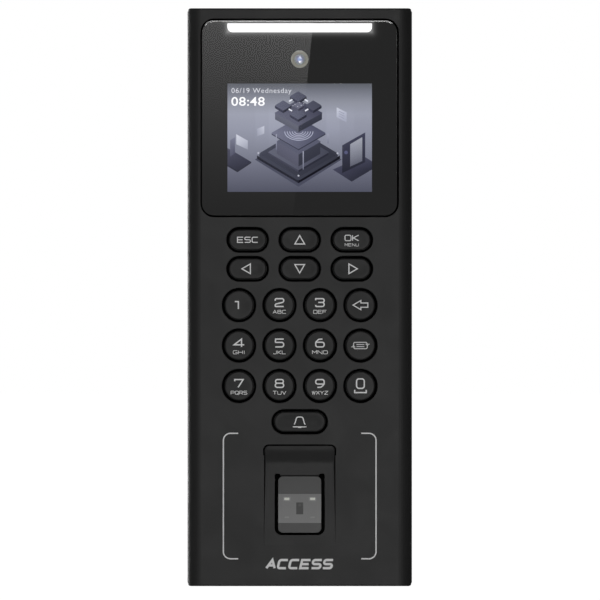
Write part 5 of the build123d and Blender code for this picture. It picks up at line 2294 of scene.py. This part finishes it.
    def build(self, finishes: Finishes) -> None:
        """Builds and dresses everything on the wall side."""
        for node, piece, slot, finish in (
            ("wall_plate", "wall_plate_steel", "plate_steel", "plate_zinc"),
            ("network_socket", "network_socket_shell", "socket_metal", "socket_nickel"),
            ("wiring_header", "wiring_header_shroud", "header_plastic", "header_ivory"),
            ("locking_screw", "lock_screw", "screw_steel", "screw_steel"),
        ):
            install(refined(node, piece), ROOT, slot, finishes[finish], node)
        self.screws(finishes)
        self.socket_springs(finishes)
        self.socket_lamps(finishes)
        self.header_pins(finishes)
        self.speaker_mesh(finishes)


@dataclass
class InnerParts:
    """CAD nodes that keep their shape and take a finish."""

    finish_of: dict[str, str] = field(default_factory=lambda: {
        "perimeter_gasket": "seal_rubber", "glass_adhesive": "seal_rubber", "lcd_panel": "black_moulding",
        "lcd_frame": "tray_steel",
        "light_bar_board": "board_green", "camera_board": "board_green", "microphone": "tray_steel",
        "keypad_mat": "mat_silicone",
        "contact_pads": "contact_gold", "keypad_board": "board_green", "sensor_bezel": "deep_black",
        "sensor_housing": "deep_black",
        "sensor_camera": "black_moulding", "sensor_leds": "pale_diffuser", "sensor_board": "board_black",
        "card_antenna": "board_green",
        "main_board": "board_green", "processor_shield": "tray_steel", "door_relay": "relay_blue",
        "buzzer": "black_moulding",
        "clock_cell": "tray_steel", "board_screws": "screw_steel", "loudspeaker": "black_moulding",
        "tamper_plunger": "header_ivory",
        "tamper_switch": "black_moulding", "tamper_spring": "screw_steel",
    })

    def build(self, finishes: Finishes) -> None:
        """Gives each kept node its finish."""
        for node, finish in self.finish_of.items():
            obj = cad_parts[node]
            if obj.material_slots:
                for slot in obj.material_slots:
                    slot.material = finishes[finish]
            else:
                obj.data.materials.append(finishes[finish])
            log.info("%s keeps its CAD shape, finish %s", node, finish)


# ---------------------------------------------------------------- studio
@dataclass
class Studio:
    """Floor, lights, glare card and camera."""

    lens: float = 120.0
    view_width: float = 202.8
    aim: Point = (0.1, -0.95)
    floor_drop: float = 600.0
    card_distance: float = 2000.0
    card_light: float = 1.02

    def camera(self) -> float:
        """Builds the camera.

        Returns:
            Its distance from the front of the glass, in millimetres.
        """
        front = Extent("display_glass").front
        data = bpy.data.cameras.new("studio_camera")
        data.lens = self.lens
        data.sensor_width = 36.0
        distance = self.view_width * self.lens / data.sensor_width
        camera = linked("studio_camera", data)
        camera.location = Vector((self.aim[0], -(front + distance), self.aim[1])) * MM
        camera.rotation_euler = (math.radians(90), 0, 0)
        data.clip_start, data.clip_end = 0.01, 100.0
        bpy.context.scene.camera = camera
        return distance

    def area(self, name: str, place: Place, size: float, power: float) -> None:
        """Builds a square softbox aimed at the terminal.

        Args:
            name: the lamp's name.
            place: its place in metres.
            size: its side in metres.
            power: its power in watts.
        """
        data = bpy.data.lights.new(name, "AREA")
        data.shape = "SQUARE"
        data.size = size
        data.energy = power
        lamp = linked(name, data)
        lamp.location = place
        lamp.rotation_euler = (-Vector(place)).to_track_quat("-Z", "Y").to_euler()

    def floor(self) -> None:
        """Builds the plain pale floor."""
        draft = Draft("studio_floor")
        reach = 12000.0
        z = -self.floor_drop
        draft.add([(-reach, -reach, z), (reach, -reach, z), (reach, reach, z), (-reach, reach, z)],
                  [(0, 1, 2, 3)])
        floor = draft.object()
        material, tree, surface, _ = start_material("studio_floor", (0.4, 0.4, 0.4), 0.8)
        path = tree.add("ShaderNodeLightPath")
        tree.set(surface, Emission_Strength=path.outputs["Is Camera Ray"],
                 Emission_Color=(1.0, 1.0, 1.0, 1.0))
        floor.data.materials.append(material)

    def glare_card(self, distance: float) -> None:
        """Builds the reflection card whose slanted edge shows in the glass.

        Args:
            distance: camera's distance from the glass in millimetres.
        """
        front = Extent("display_glass").front
        grow = self.card_distance / distance
        fade_foot, fade_top, rows, columns = 15.0, 86.6, 14, 4
        foot, tall, left, slant_foot, slant_run, brighten = 24.0, 72.0, -42.0, -2.6, 7.5, 0.3
        draft = Draft("glare_card")
        points, tints = [], []
        for row in range(rows + 1):
            z = foot + tall * row / rows
            right = slant_foot + slant_run * row / rows
            for column in range(columns + 1):
                share = column / columns
                x = left + (right - left) * share
                points.append((x + (x - self.aim[0]) * grow, -(front + self.card_distance),
                               z + (z - self.aim[1]) * grow))
                tints.append(self.card_light * max((z - fade_foot) / (fade_top - fade_foot),
                                                   0.0) ** 2 * (1 + brighten * share))
        draft.points = points
        for row in range(rows):
            for column in range(columns):
                a = row * (columns + 1) + column
                face = [a, a + columns + 1, a + columns + 2, a + 1]
                draft.faces.append(face)
                draft.tints.append([(tints[i],) * 3 for i in face])
        card = draft.object()
        material, tree, surface, _ = start_material("glare_card", (0.0, 0.0, 0.0), 1.0)
        tree.set(surface, Emission_Color=face_tint(tree), Emission_Strength=1.0)
        card.data.materials.append(material)
        card.visible_camera = False
        card.visible_diffuse = False
        card.visible_shadow = False

    def world(self) -> None:
        """Sets the surroundings: white behind the terminal, dim to everything else."""
        world = bpy.data.worlds.new("studio_world")
        world.use_nodes = True
        tree = Tree(world.node_tree)
        background = world.node_tree.nodes["Background"]
        path = tree.add("ShaderNodeLightPath")
        coordinates = tree.add("ShaderNodeTexCoord")
        split = tree.add("ShaderNodeSeparateXYZ", Vector=coordinates.outputs["Generated"])
        rise, level, least = 0.16, 0.02, 0.012
        behind = tree.maths("MULTIPLY_ADD", split.outputs["Y"], rise, level)
        shade = tree.maths("MAXIMUM", behind, least)
        tree.set(background, Strength=tree.maths("MAXIMUM", shade, path.outputs["Is Camera Ray"]),
                 Color=(1.0, 1.0, 1.0, 1.0))
        bpy.context.scene.world = world

    def build(self) -> None:
        """Builds the whole studio."""
        distance = self.camera()
        self.floor()
        self.glare_card(distance)
        self.world()
        self.area("softbox_low", (0.05, -1.9, -0.2), 0.5, 7.3)
        self.area("softbox_high", (0.1, -1.9, 0.66), 0.5, 4.8)
        self.area("softbox_left", (-1.6, 0.1, 0.2), 0.8, 1.0)
        self.area("softbox_rear", (-0.9, 1.4, -0.05), 0.9, 17.0)
        view = bpy.context.scene.view_settings
        view.view_transform = "Standard"
        view.look = "None"


def main() -> None:
    """Builds every sub-assembly in order."""
    logging.basicConfig(level=logging.INFO, format="%(message)s")
    light = LightBar()
    finishes = Finishes(light)
    Copies.make()
    Housing().build(finishes)
    Window().build(finishes, light)
    Keypad().build(finishes)
    FingerReader().build(finishes)
    WallSide().build(finishes)
    InnerParts().build(finishes)
    Studio().build()


if __name__ == "__main__":
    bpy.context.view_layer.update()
    main()
